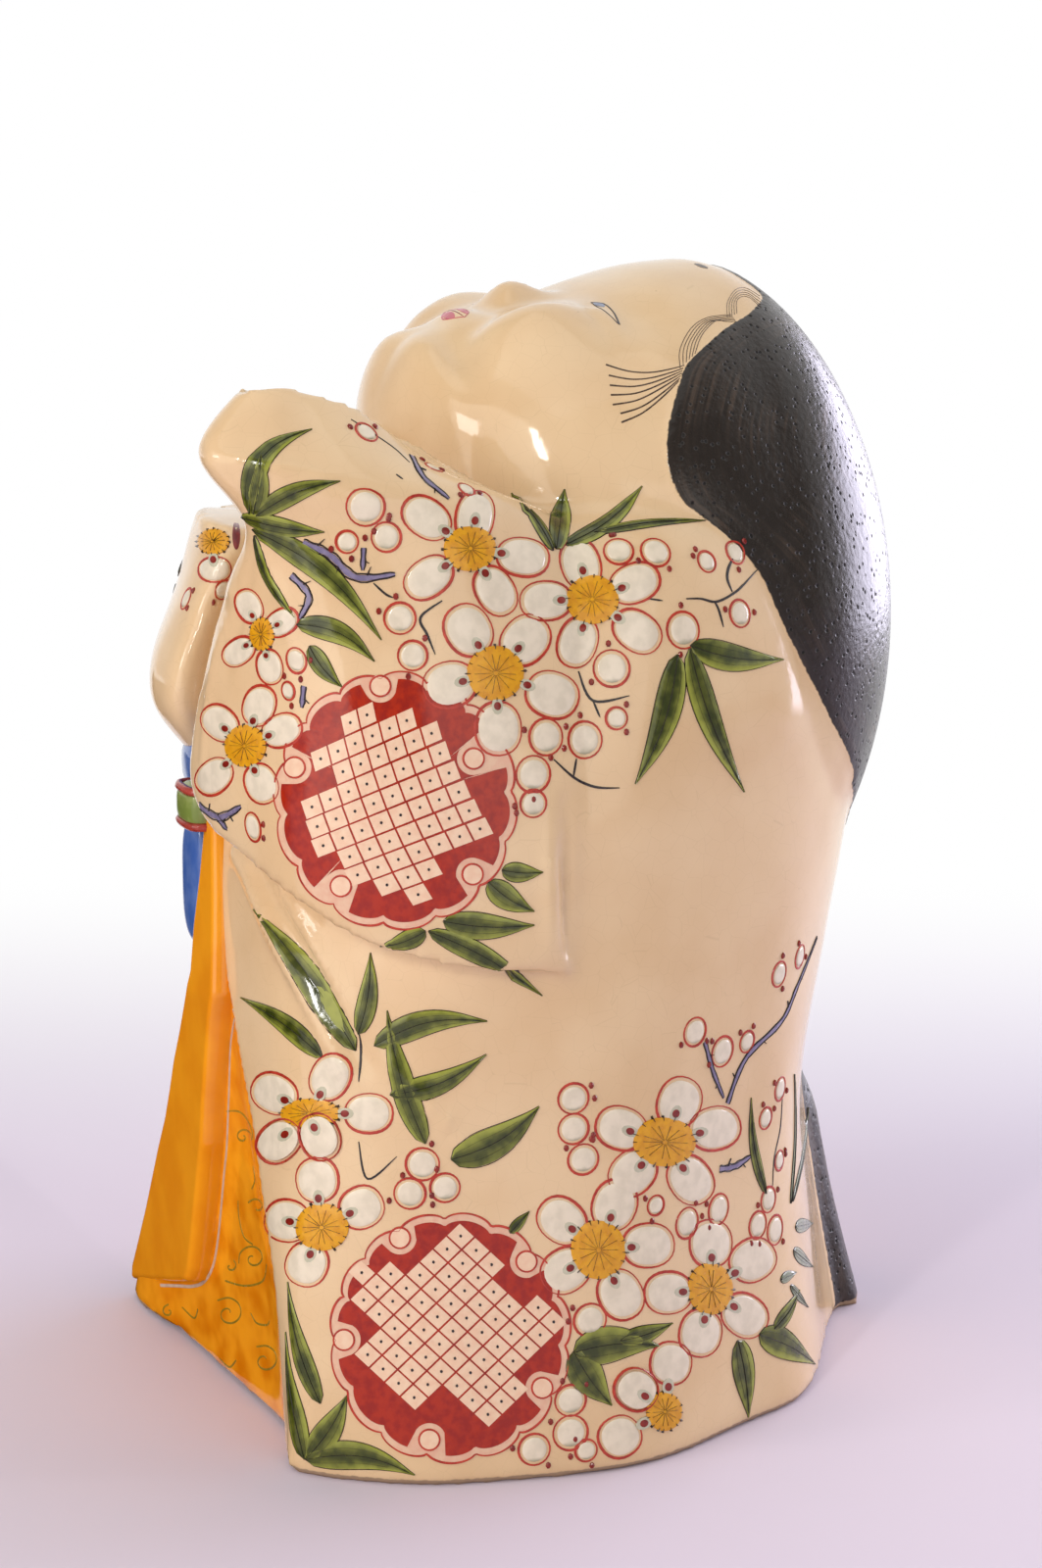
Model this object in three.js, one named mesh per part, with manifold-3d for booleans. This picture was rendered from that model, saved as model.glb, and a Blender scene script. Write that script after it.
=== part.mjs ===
// Otafuku figurine: a glazed ceramic woman in a wide outer robe, her head thrown back and her face to the sky.
// Millimetres, +Z up, the figure faces -Y, her left hand is on +X. The finished figure is moved so that the
// origin is the bottom middle of its box.
// The figure is cast in one piece, so all its forms are joined into one solid.
import * as THREE from "three";
import { mergeVertices } from "three/addons/utils/BufferGeometryUtils.js";
import Module from "manifold-3d";

// Driving dimensions of the head, which lies back with its face up: the skull's oval and the chin's reach
const SKULL = { y: 29.5, z: 153, halfWidth: 57, back: 41, height: 71.2, power: 1.87 };
const CHIN = { reach: 65.5, z: 193, fullness: 2.3, widthPower: 2, risePower: 1.5, throatPower: 0.8 };
const FACE = { power: 2.35, squareWithin: 1 / 3 }; // how square the face is across, and how soon it gets so
const FOOT = { inset: 0.9, height: 1.6 }; // the unglazed foot under the hem
const ROBE_TOP = 181; // the robe ends inside the head here

// Fineness of the facets
const RING_STEPS = 3; // samples between two points of a section
const ROW_STEPS = 3; // samples between two sections
const HEAD_RINGS = 30;
const HEAD_AROUND = 44;
const BLOCK_LEVELS = 8;
const BLOCK_AROUND = 24;
const TAIL_LEVELS = 10;
const TAIL_AROUND = 20;
const SAME_POINT = 1e-3;

// Sections of the robe from the hem up, as x, y pairs. The front half runs from the middle of the front round
// the side, the back half goes on to the middle of the back. Her left side is the near one, where the raised
// arm lifts the cloth. Her right side falls straighter, so it has a front half of its own low down.
const ROBE_SECTIONS = [
  {
    z: 0,
    front: [0, -70.5, 30, -68.5, 45, -71.5, 51.5, -71.8, 62, -59.5, 69, -43.5],
    rightFront: [0, -70.5, 26, -72.5, 45.5, -74.2, 53, -69.5, 62, -59, 69, -43.5],
    back: [73.5, -10, 63, 18, 53.5, 36, 27.5, 54, 0, 69],
  },
  {
    z: 29,
    front: [0, -70.5, 25, -69.5, 42, -71.5, 51, -69.5, 60, -57.5, 66.5, -42],
    rightFront: [0, -70.5, 25, -72, 43, -71.8, 51, -66, 59.5, -55.5, 66.5, -41],
    back: [71, -10, 61, 17, 50.5, 34, 27, 50, 0, 61.8],
  },
  {
    z: 58,
    front: [0, -71, 15, -70.5, 28, -71.5, 47, -68, 58.5, -57, 65, -41],
    rightFront: [0, -71, 15, -71.3, 27, -70.7, 42, -64, 55, -53.5, 64, -38],
    back: [69.5, -10, 60, 16.5, 49, 33, 27, 48.5, 0, 59.2],
  },
  {
    z: 88,
    front: [0, -71, 6, -71, 14, -71, 39, -68.5, 55.5, -57.5, 65, -41],
    rightFront: [0, -71, 6, -70.8, 12, -70, 28, -64, 47, -55, 62, -38],
    back: [69, -10, 61, 18, 49.5, 36, 29, 52, 0, 60],
  },
  {
    z: 108,
    front: [0, -70, 6, -70.5, 15, -70, 36, -67, 53, -57, 64.5, -41],
    rightFront: [0, -70, 6, -69.8, 12, -69, 27, -63, 45, -54, 60, -38],
    back: [68.5, -10, 62, 19, 50, 38, 29, 54.5, 0, 64.5],
  },
  {
    z: 126,
    front: [0, -67, 7, -67, 15, -66, 34, -61, 50, -53, 64, -37],
    back: [69, -9, 62.5, 19, 51, 39, 29.5, 57, 0, 67.5],
  },
  {
    z: 145,
    front: [0, -57, 8, -57, 16, -56, 32, -52, 48, -45, 61.5, -32],
    back: [67.7, -8, 62.5, 19, 50.5, 38.5, 29.5, 56.5, 0, 67],
  },
  {
    z: 163,
    front: [0, -45, 8, -45, 17, -44, 31, -41, 46, -36, 58, -24],
    back: [64, -5, 60, 17, 48, 35.5, 28, 53, 0, 63.5],
  },
  {
    z: 175,
    front: [0, -36, 8, -36, 16, -35.5, 29, -33, 42, -28, 53.5, -18],
    back: [59.5, -3, 54.5, 16, 43, 33, 25, 47, 0, 57],
  },
  {
    z: ROBE_TOP,
    front: [0, -28, 7, -28, 13, -27.5, 24, -26, 34, -21, 44, -13],
    back: [50, -2, 46, 14, 37, 28, 21, 40, 0, 49],
  },
];

// Rings of each sleeve as x, y, z triples, from the hanging edge up: in from the rear edge, over the outer
// face to the fold, across the turned front to its rim, and back along the chest.
const RAISED_SLEEVE = [
  {
    rear: [50, -20, 98, 69.4, -23, 98],
    outer: [69.5, -42, 100, 62, -60, 105, 50, -70.5, 112],
    front: [34, -75, 117, 20, -77.3, 120],
    inner: [17, -73.5, 120.5, 35, -50, 110],
  },
  {
    rear: [50, -19, 112, 68.9, -22, 113],
    outer: [69.3, -42, 116, 62.5, -60, 121, 52.5, -70, 126],
    front: [34, -76, 128, 15, -78.3, 128],
    inner: [12, -74.5, 129, 30, -50, 124],
  },
  {
    rear: [48, -14, 138, 65.5, -16, 139],
    outer: [67.6, -41, 143, 63, -57, 146, 54, -68, 148],
    front: [38, -74.5, 147, 20.5, -77.7, 146],
    inner: [17.5, -73.5, 146, 28, -48, 144],
  },
  {
    rear: [45, -12, 162, 59, -14, 163],
    outer: [63.5, -39, 167, 60.5, -56, 169, 53, -69, 170],
    front: [43, -74, 168.5, 32, -76, 167],
    inner: [28, -72, 167, 30, -48, 166],
  },
  {
    rear: [43, -12, 172, 52.5, -14, 173],
    outer: [60, -38, 180, 58.5, -56, 181, 53, -69, 181],
    front: [49, -74, 181, 42.5, -75.6, 180],
    inner: [36, -71.5, 180, 30, -50, 178],
  },
  {
    rear: [42, -14, 177, 48, -16, 179],
    outer: [55, -38, 187, 57, -57, 188.5, 53, -70, 191],
    front: [50, -76, 192, 43.5, -83.4, 193],
    inner: [33, -78.5, 192, 30, -50, 184],
  },
  {
    rear: [42, -18, 179, 46, -20, 181],
    outer: [44, -38, 188.5, 43, -53, 200, 42, -64, 204.5],
    front: [41, -71, 205.5, 39, -75, 204],
    inner: [34, -71, 204, 36, -50, 198],
  },
];
const LOWERED_SLEEVE = [
  {
    rear: [50, -20, 98, 69.4, -23, 98],
    outer: [68.6, -38, 103, 60, -50, 118, 46, -60, 127],
    front: [32, -66.5, 128, 18, -69.5, 127.5],
    inner: [12, -66, 128, 30, -45, 115],
  },
  {
    rear: [50, -19, 114, 68.9, -22, 115],
    outer: [68, -38, 120, 60.5, -53, 130, 47, -65, 135],
    front: [33, -72, 136, 18, -75.3, 136],
    inner: [8, -71, 136, 28, -45, 130],
  },
  {
    rear: [48, -14, 137, 65.5, -16, 138],
    outer: [66.8, -38, 141, 60, -54, 144, 48, -65, 145],
    front: [34, -71.8, 145, 18, -75.2, 145],
    inner: [7, -71, 145, 26, -45, 144],
  },
  {
    rear: [46, -12, 155, 61, -15, 156],
    outer: [64, -36, 157, 58, -51, 158, 48, -60.5, 158],
    front: [36, -66, 158, 18, -69.7, 158],
    inner: [8, -66, 158, 26, -44, 157],
  },
  {
    rear: [44, -12, 164, 57.5, -14, 165],
    outer: [61, -34, 166, 56, -48, 167, 47, -57, 168],
    front: [36, -63, 168, 16, -66, 167.5],
    inner: [7, -62, 167, 26, -42, 166],
  },
  {
    rear: [42, -13, 170, 52, -15, 170],
    outer: [54, -32, 172, 50, -45, 173, 44, -55, 173],
    front: [36, -61, 174, 17, -65.2, 174],
    inner: [12, -57, 172, 28, -42, 172],
  },
];

// Height of the middle of the face along its length, y then z, from the crown to the chin.
const FACE_PROFILE = [
  [29.5, 224.2], [20, 223.2], [10, 220.4], [2.7, 217.6], [-6, 216], [-14, 214.6], [-22, 212.8], [-29, 209],
  [-33, 203.5], [-35.2, 198], [-36, 193],
];
// Soft swellings of the face: middle x, middle y, reach across, reach along, height.
const CHEEK = [25, -9, 11, 12, 5];
const EYE_HOLLOW = [27, 9, 8, 6, -1.8];
const NOSE = [0, -5, 5, 5, 4.4];
const LIPS = [0, -18, 5, 4, 1.6];
const CHIN_BALL = [0, -29, 9, 6, 2.2];

// Small raised pieces of dress. The panel is the smooth front of the inner kimono, its outline as x, z pairs.
const FRONT_PANEL = {
  back: -68,
  front: -74.4,
  edge: 1,
  outline: [10, 112, 21, 80, 19, 50, 13, 33, 2, 24, -50, 4, -44, 22, -25, 58, -8, 90],
};
const SASH = { middle: [0, -52, 124.5], half: [33, 19.5, 8], power: 3 };
const CORD_KNOT = { middle: [-9.5, -69.6, 120.5], half: [8, 5, 6.6], power: 3 };
const SASH_TAIL = { middle: [-12.5, -67.4, 103], half: [7, 3.4, 12.5], power: 3.4 };
const HAIR_TAIL = { top: 76, halfWidthTop: 5, halfWidthFoot: 13, halfDepth: 6.5, standsProud: 2.2 };

const wasm = await Module();
wasm.setup();

// Catmull-Rom value at step t of a list of equal-length number rows.
function splineAt(rows, t, closed) {
  const n = rows.length;
  const i = Math.min(Math.floor(t), closed ? n - 1 : n - 2);
  const u = t - i;
  const at = (k) => rows[closed ? (k + n) % n : Math.min(Math.max(k, 0), n - 1)];
  const [a, b, c, d] = [at(i - 1), at(i), at(i + 1), at(i + 2)];
  return b.map((_, k) => {
    const rise = c[k] - a[k];
    const bend = 2 * a[k] - 5 * b[k] + 4 * c[k] - d[k];
    const twist = -a[k] + 3 * b[k] - 3 * c[k] + d[k];
    return 0.5 * (2 * b[k] + rise * u + bend * u * u + twist * u * u * u);
  });
}

// All samples of a spline through rows, both ends kept.
function splineRows(rows, steps, closed) {
  const spans = closed ? rows.length : rows.length - 1;
  const count = spans * steps + (closed ? 0 : 1);
  return Array.from({ length: count }, (_, k) => splineAt(rows, k / steps, closed));
}

// A closed solid from rings of [x, y, z] points, each end closed by a fan round its middle.
function solidOfRings(rings) {
  const around = rings[0].length;
  const points = rings.flat();
  const middle = (ring) => [0, 1, 2].map((k) => ring.reduce((sum, p) => sum + p[k], 0) / around);
  const first = points.push(middle(rings[0])) - 1;
  const last = points.push(middle(rings.at(-1))) - 1;
  const faces = [];
  for (let r = 0; r + 1 < rings.length; r++)
    for (let k = 0; k < around; k++) {
      const next = (k + 1) % around;
      const [a, b] = [r * around + k, r * around + next];
      faces.push(a, b, b + around, a, b + around, a + around);
    }
  const top = (rings.length - 1) * around;
  for (let k = 0; k < around; k++) {
    const next = (k + 1) % around;
    faces.push(first, next, k, last, top + k, top + next);
  }
  return solidOfFaces(points.flat(), faces);
}

// A manifold solid from a flat position list and its triangles, turned right way out.
function solidOfFaces(positions, faces) {
  const geometry = new THREE.BufferGeometry();
  geometry.setAttribute("position", new THREE.Float32BufferAttribute(positions, 3));
  geometry.setIndex(faces);
  const merged = mergeVertices(geometry, SAME_POINT);
  const vertProperties = new Float32Array(merged.attributes.position.array);
  const triVerts = new Uint32Array(merged.index.array);
  const solid = new wasm.Manifold(new wasm.Mesh({ numProp: 3, vertProperties, triVerts }));
  if (solid.volume() > 0) return solid;
  return new wasm.Manifold(new wasm.Mesh({ numProp: 3, vertProperties, triVerts: triVerts.reverse() }));
}

const pairs = (flat) => Array.from({ length: flat.length / 2 }, (_, i) => [flat[2 * i], flat[2 * i + 1]]);
const triples = (flat) => Array.from({ length: flat.length / 3 }, (_, i) => flat.slice(3 * i, 3 * i + 3));

// A full robe section at its height: her left half, then her right half mirrored back to the front.
function robeSection({ z, front, rightFront = front, back }) {
  const left = pairs([...front, ...back]);
  const right = pairs([...rightFront, ...back]).slice(1, -1).reverse();
  return [...left, ...right.map(([x, y]) => [-x, y])].flatMap(([x, y]) => [x, y, z]);
}

function robe() {
  const rows = splineRows(ROBE_SECTIONS.map(robeSection), ROW_STEPS, false);
  const rings = rows.map((row) => splineRows(triples(row), RING_STEPS, true));
  const foot = rings[0].map(([x, y]) => {
    const scale = 1 - FOOT.inset / Math.hypot(x, y);
    return [x * scale, y * scale, 0];
  });
  const hem = rings[0].map(([x, y]) => [x, y, FOOT.height]);
  return solidOfRings([foot, hem, ...rings.slice(1)]);
}

function sleeve(table, side) {
  const sections = table.map(({ rear, outer, front, inner }) => [...rear, ...outer, ...front, ...inner]);
  const rows = splineRows(sections, ROW_STEPS, false);
  const rings = rows.map((row) => splineRows(triples(row), RING_STEPS, true));
  return solidOfRings(rings.map((ring) => ring.map(([x, y, z]) => [side * x, y, z])));
}

const swell = ([mx, my, rx, ry, height], x, y) =>
  height * Math.exp(-(((Math.abs(x) - mx) / rx) ** 2) - ((y - my) / ry) ** 2);

function faceRelief(x, y) {
  return [CHEEK, EYE_HOLLOW, NOSE, LIPS, CHIN_BALL].reduce((sum, form) => sum + swell(form, x, y), 0);
}

// Height of the face's middle line at y, from its profile.
function profileHeight(y) {
  const i = Math.max(FACE_PROFILE.findIndex(([at]) => at <= y), 1);
  const [ya] = FACE_PROFILE[i - 1];
  const [yb] = FACE_PROFILE[i];
  return splineAt(FACE_PROFILE, i - 1 + (ya - y) / (ya - yb), false)[1];
}

// A cosine or sine squared up by a power, its sign kept.
const squared = (v, power) => Math.sign(v) * Math.abs(v) ** (2 / power);

// One ring of the head across its length: an oval behind, a squarer oval under the face.
function headRing(y) {
  const behind = y > SKULL.y;
  const t = behind ? (y - SKULL.y) / SKULL.back : (SKULL.y - y) / CHIN.reach;
  const round = (1 - t ** SKULL.power) ** (1 / SKULL.power);
  const halfWidth = SKULL.halfWidth * (behind ? round : (1 - t ** CHIN.fullness) ** (1 / CHIN.widthPower));
  const middle = behind ? SKULL.z : SKULL.z + (CHIN.z - SKULL.z) * t ** CHIN.risePower;
  const up = behind ? SKULL.height * round : profileHeight(y) - middle;
  const down = SKULL.height * (behind ? round : (1 - t) ** CHIN.throatPower);
  const power = behind ? 2 : 2 + (FACE.power - 2) * Math.min(t / FACE.squareWithin, 1);
  return Array.from({ length: HEAD_AROUND }, (_, k) => {
    const angle = (2 * Math.PI * k) / HEAD_AROUND;
    const x = halfWidth * squared(Math.cos(angle), power);
    const lift = squared(Math.sin(angle), power);
    const relief = behind ? 0 : Math.max(lift, 0) * faceRelief(x, y);
    return [x, y, middle + (lift > 0 ? up : down) * lift + relief];
  });
}

function head() {
  const front = SKULL.y - CHIN.reach;
  const length = CHIN.reach + SKULL.back;
  const rings = [];
  for (let k = 1; k < HEAD_RINGS; k++) {
    const share = (1 - Math.cos((Math.PI * k) / HEAD_RINGS)) / 2;
    rings.push(headRing(front + length * share));
  }
  return solidOfRings(rings);
}

// A rounded block: an ellipsoid whose section is squared by its power.
function roundedBlock({ middle, half, power }) {
  const rings = [];
  for (let j = 1; j < BLOCK_LEVELS; j++) {
    const tilt = Math.PI * (j / BLOCK_LEVELS - 1 / 2);
    const out = squared(Math.cos(tilt), power);
    rings.push(
      Array.from({ length: BLOCK_AROUND }, (_, k) => {
        const turn = (2 * Math.PI * k) / BLOCK_AROUND;
        return [
          middle[0] + half[0] * out * squared(Math.cos(turn), power),
          middle[1] + half[1] * out * squared(Math.sin(turn), power),
          middle[2] + half[2] * squared(Math.sin(tilt), power),
        ];
      }),
    );
  }
  return solidOfRings(rings);
}

// The raised front panel of the inner kimono: its outline drawn upright and pushed forward.
function frontPanel() {
  const { back, front, edge, outline } = FRONT_PANEL;
  const shape = new THREE.Shape(pairs(outline).map(([x, z]) => new THREE.Vector2(x, z)));
  const depth = back - front - edge;
  const bevel = { bevelThickness: edge, bevelSize: edge, bevelOffset: -edge, bevelSegments: 1 };
  const geometry = new THREE.ExtrudeGeometry(shape, { depth, bevelEnabled: true, ...bevel });
  geometry.rotateX(Math.PI / 2);
  geometry.translate(0, back, 0);
  geometry.deleteAttribute("normal");
  geometry.deleteAttribute("uv");
  const merged = mergeVertices(geometry, SAME_POINT);
  return solidOfFaces([...merged.attributes.position.array], [...merged.index.array]);
}

// The hair's straight tail down the ridge of the back, widening to the hem.
function hairTail() {
  const { top, halfWidthTop, halfWidthFoot, halfDepth, standsProud } = HAIR_TAIL;
  const ridge = ROBE_SECTIONS.map(({ z, back }) => [z, back.at(-1)]);
  const rings = Array.from({ length: TAIL_LEVELS + 1 }, (_, j) => {
    const z = (top * j) / TAIL_LEVELS;
    const i = ridge.findIndex(([at]) => at > z);
    const share = (z - ridge[i - 1][0]) / (ridge[i][0] - ridge[i - 1][0]);
    const ridgeY = splineAt(ridge, i - 1 + share, false)[1];
    const halfWidth = halfWidthFoot + (halfWidthTop - halfWidthFoot) * (z / top);
    const middle = ridgeY + standsProud - halfDepth;
    return Array.from({ length: TAIL_AROUND }, (_, k) => {
      const turn = (2 * Math.PI * k) / TAIL_AROUND;
      return [halfWidth * Math.cos(turn), middle + halfDepth * Math.sin(turn), z];
    });
  });
  return solidOfRings(rings);
}

// The whole casting as one closed geometry, moved so that its box's bottom middle is the origin.
function figure() {
  const forms = [
    robe(),
    head(),
    sleeve(RAISED_SLEEVE, 1),
    sleeve(LOWERED_SLEEVE, -1),
    roundedBlock(SASH),
    roundedBlock(CORD_KNOT),
    roundedBlock(SASH_TAIL),
    frontPanel(),
    hairTail(),
  ];
  const { vertProperties, triVerts } = forms.reduce((whole, form) => whole.add(form)).getMesh();
  const geometry = new THREE.BufferGeometry();
  geometry.setAttribute("position", new THREE.BufferAttribute(new Float32Array(vertProperties), 3));
  geometry.setIndex(new THREE.BufferAttribute(new Uint32Array(triVerts), 1));
  geometry.computeBoundingBox();
  const { min, max } = geometry.boundingBox;
  return geometry.translate(-(min.x + max.x) / 2, -(min.y + max.y) / 2, -min.z);
}

const glaze = new THREE.MeshStandardMaterial({ color: 0xe9d2a8, roughness: 0.16, metalness: 0 });
const body = new THREE.Mesh(figure(), glaze);
body.name = "otafuku_figurine";

const group = new THREE.Group();
group.add(body);

export default group;
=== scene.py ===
"""Otafuku figurine: one glazed casting, its enamel painting and its small pieces of dress.

Sizes are millimetres in the modelling frame, in which the skull's middle line is x = 0 and the hem
stands on z = 0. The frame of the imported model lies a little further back, so each mesh is moved by
SHIFT when it is made.
"""
import logging
import math
from collections.abc import Iterable, Sequence
from dataclasses import dataclass
from enum import Enum

import bpy
import numpy as np
from mathutils import Matrix, Vector


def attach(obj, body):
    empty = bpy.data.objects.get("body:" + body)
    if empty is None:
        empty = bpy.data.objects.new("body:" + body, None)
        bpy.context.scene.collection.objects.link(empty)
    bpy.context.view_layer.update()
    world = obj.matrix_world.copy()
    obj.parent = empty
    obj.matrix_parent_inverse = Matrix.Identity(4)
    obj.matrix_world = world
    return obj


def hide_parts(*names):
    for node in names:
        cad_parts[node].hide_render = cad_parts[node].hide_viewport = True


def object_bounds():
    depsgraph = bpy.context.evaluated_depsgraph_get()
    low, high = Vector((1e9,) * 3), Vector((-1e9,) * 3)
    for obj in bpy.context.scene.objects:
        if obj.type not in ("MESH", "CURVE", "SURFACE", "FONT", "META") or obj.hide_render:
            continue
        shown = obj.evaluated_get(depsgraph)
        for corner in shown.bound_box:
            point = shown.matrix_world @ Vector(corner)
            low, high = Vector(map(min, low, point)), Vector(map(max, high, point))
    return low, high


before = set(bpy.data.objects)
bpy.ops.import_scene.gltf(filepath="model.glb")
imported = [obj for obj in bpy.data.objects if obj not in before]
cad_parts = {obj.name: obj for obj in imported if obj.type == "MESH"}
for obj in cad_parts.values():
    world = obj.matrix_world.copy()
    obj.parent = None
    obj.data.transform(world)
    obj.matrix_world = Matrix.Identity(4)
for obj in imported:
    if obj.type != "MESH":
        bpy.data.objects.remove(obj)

CAD_LOW, CAD_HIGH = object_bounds()
NODE = "otafuku_figurine"
BODY = "root"
MM = 0.001
BACK_OF_TAIL = 71.2
SHIFT = np.array([0.0, CAD_HIGH.y / MM - BACK_OF_TAIL, 0.0])
IMAGE_WIDTH, IMAGE_HEIGHT = 1063, 1600
LOG = logging.getLogger("figurine")

Array = np.ndarray
Socket = bpy.types.NodeSocket
Colour = tuple[float, float, float]
Pixel = tuple[float, float]
Path = tuple[Pixel, ...]
Span = tuple[float, float]
Row = tuple[float, ...]
Table = Sequence[Row]
Pair = tuple[Array, Array]
Place = tuple[float, float, float]
Piece = bpy.types.Object


def spline(points: Array, steps: int, closed: bool) -> Array:
    """Carry a Catmull-Rom curve through the first axis of an array.

    Between b and c, with neighbours a and d, the value at u is half of
    2b + (c - a)u + (2a - 5b + 4c - d)u^2 + (-a + 3b - 3c + d)u^3.

    Args:
        points: Values of any shape, one row for each knot.
        steps: Samples between two knots.
        closed: Whether the last knot joins the first.

    Returns:
        The samples, with both ends kept on an open curve.
    """
    count = len(points)
    spans = count if closed else count - 1
    t = np.arange(spans * steps + (0 if closed else 1)) / steps
    i = np.minimum(t.astype(int), spans - 1)
    u = (t - i).reshape((-1,) + (1,) * (points.ndim - 1))
    knots = [(i + k) % count if closed else np.clip(i + k, 0, count - 1) for k in (-1, 0, 1, 2)]
    a, b, c, d = (points[k] for k in knots)
    return 0.5 * (2 * b + (c - a) * u + (2 * a - 5 * b + 4 * c - d) * u**2 + (-a + 3 * b - 3 * c + d) * u**3)


def curve_value(table: Table, at: Array) -> Array:
    """Read a smooth curve through (place, value) pairs, by interpolation on a spline with 8 steps a span."""
    fine = spline(np.array(table, float), 8, False)
    return np.interp(at, fine[:, 0], fine[:, 1])


def smooth_step(value: Array, low: float, high: float) -> Array:
    """Rise from 0 to 1 between low and high as 3t^2 - 2t^3."""
    t = np.clip((value - low) / (high - low), 0, 1)
    return t * t * (3 - 2 * t)


def squared(value: Array, power: Array | float) -> Array:
    """Raise a cosine or sine to 2 / power and keep its sign."""
    return np.sign(value) * np.abs(value) ** (2 / power)


def unit(vectors: Array) -> Array:
    """Scale vectors on the last axis to length one."""
    return vectors / np.maximum(np.linalg.norm(vectors, axis=-1, keepdims=True), 1e-12)


@dataclass
class Shell:
    """Vertices and faces of a mesh while it is worked out.

    Args:
        points: Vertex places, (n, 3).
        faces: Lists of face corner arrays, each (m, 3) or (m, 4).
    """

    points: Array
    faces: list[Array]

    @staticmethod
    def joined(shells: Iterable["Shell"]) -> "Shell":
        """Put shells into one, with the corners of each moved past the vertices before it."""
        points, faces, count = [], [], 0
        for shell in shells:
            points.append(shell.points)
            faces.extend(part + count for part in shell.faces)
            count += len(shell.points)
        return Shell(np.concatenate(points), faces)

    @staticmethod
    def loft(rings: Array) -> "Shell":
        """Close a stack of rings to a solid shell.

        Quads join each ring to the next, and a fan round the mean of the end ring closes each end.

        Args:
            rings: Places, (rings, around, 3), counter-clockwise seen from the last ring's side.

        Returns:
            The closed shell.
        """
        count, around = rings.shape[:2]
        points = np.concatenate([rings.reshape(-1, 3), rings[[0, -1]].mean(axis=1)])
        k = np.arange(around)
        after = (k + 1) % around
        row = (np.arange(count - 1) * around)[:, None]
        quads = np.stack([row + k, row + after, row + after + around, row + k + around], axis=-1)
        first, last = count * around, count * around + 1
        top = (count - 1) * around
        fan = np.concatenate(
            [
                np.stack([np.full(around, first), after, k], axis=1),
                np.stack([np.full(around, last), top + k, top + after], axis=1),
            ]
        )
        return Shell(points, [quads.reshape(-1, 4), fan])

    def object(self, name: str) -> Piece:
        """Make the mesh object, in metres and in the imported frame, with smooth faces."""
        mesh = bpy.data.meshes.new(name)
        place = (self.points + SHIFT) * MM
        corners = np.concatenate([part.reshape(-1) for part in self.faces]).astype(np.int32)
        totals = np.concatenate([np.full(len(part), part.shape[1]) for part in self.faces]).astype(np.int32)
        starts = (np.cumsum(totals) - totals).astype(np.int32)
        mesh.vertices.add(len(place))
        mesh.vertices.foreach_set("co", place.astype(np.float32).ravel())
        mesh.loops.add(len(corners))
        mesh.loops.foreach_set("vertex_index", corners)
        mesh.polygons.add(len(totals))
        mesh.polygons.foreach_set("loop_start", starts)
        mesh.update(calc_edges=True)
        mesh.validate()
        mesh.shade_smooth()
        return in_scene(name, mesh)


def in_scene(name: str, data: bpy.types.ID) -> Piece:
    """Make an object of a mesh, a camera or a lamp, and put it in the scene."""
    obj = bpy.data.objects.new(name, data)
    bpy.context.scene.collection.objects.link(obj)
    return obj


def vectors(members: bpy.types.bpy_prop_collection, name: str) -> Array:
    """Read one vector of every member of a collection, (n, 3)."""
    flat = np.empty(len(members) * 3, np.float32)
    members.foreach_get(name, flat)
    return flat.reshape(-1, 3).astype(float)


def store(mesh: bpy.types.Mesh, name: str, values: Array) -> None:
    """Keep one number or one vector for each vertex as a point attribute."""
    vector = values.ndim == 2
    attribute = mesh.attributes.new(name, "FLOAT_VECTOR" if vector else "FLOAT", "POINT")
    attribute.data.foreach_set("vector" if vector else "value", values.astype(np.float32).ravel())


@dataclass(frozen=True)
class PhotographView:
    """The camera: where it stands round the figure, and its lens.

    Args:
        azimuth, elevation: Degrees round from the front towards her left, and above the horizon.
        stand: Place of the lens in the modelling frame.
        lens, film: Focal length and long side of the film in mm.
        clip: Nearest and furthest distance it draws.
    """

    azimuth: float = 67.5
    elevation: float = 11.7
    stand: Place = (603.9, -254.5, 254.0)
    lens: float = 75.0
    film: float = 36.0
    clip: Span = (50.0, 20000.0)

    def axes(self) -> tuple[Array, Array, Array]:
        """Directions to the right, up, and forward of the camera."""
        a, e = math.radians(self.azimuth), math.radians(self.elevation)
        forward = -np.array([math.sin(a) * math.cos(e), -math.cos(a) * math.cos(e), math.sin(e)])
        right = unit(np.cross(forward, (0, 0, 1)))
        return right, np.cross(right, forward), forward

    def reach(self) -> float:
        """Focal length in pixels of the photograph."""
        return self.lens / self.film * IMAGE_HEIGHT

    def rays(self, pixels: Array, mirrored: bool = False) -> Pair:
        """Lines of sight through pixels of the photograph's 1063 x 1600 frame.

        Args:
            pixels: Pixel pairs, (..., 2).
            mirrored: Whether to look from the other side, with x reversed.

        Returns:
            Starting places and unit directions, both (..., 3).
        """
        right, up, forward = self.axes()
        across = pixels[..., :1] - IMAGE_WIDTH / 2
        down = pixels[..., 1:] - IMAGE_HEIGHT / 2
        aims = unit(forward * self.reach() + right * across - up * down)
        starts = np.broadcast_to(np.array(self.stand), aims.shape)
        turn = np.array([-1, 1, 1]) if mirrored else np.ones(3)
        return starts * turn, aims * turn

    def make(self) -> None:
        """Make the scene's camera."""
        data = bpy.data.cameras.new("camera")
        data.lens = self.lens
        data.sensor_width = self.film
        data.sensor_fit = "AUTO"
        data.clip_start, data.clip_end = (distance * MM for distance in self.clip)
        right, up, forward = self.axes()
        place = (np.array(self.stand) + SHIFT) * MM
        camera = in_scene("camera", data)
        camera.matrix_world = Matrix([*zip(right, up, -forward, place)]).to_4x4()
        bpy.context.scene.camera = camera


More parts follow.
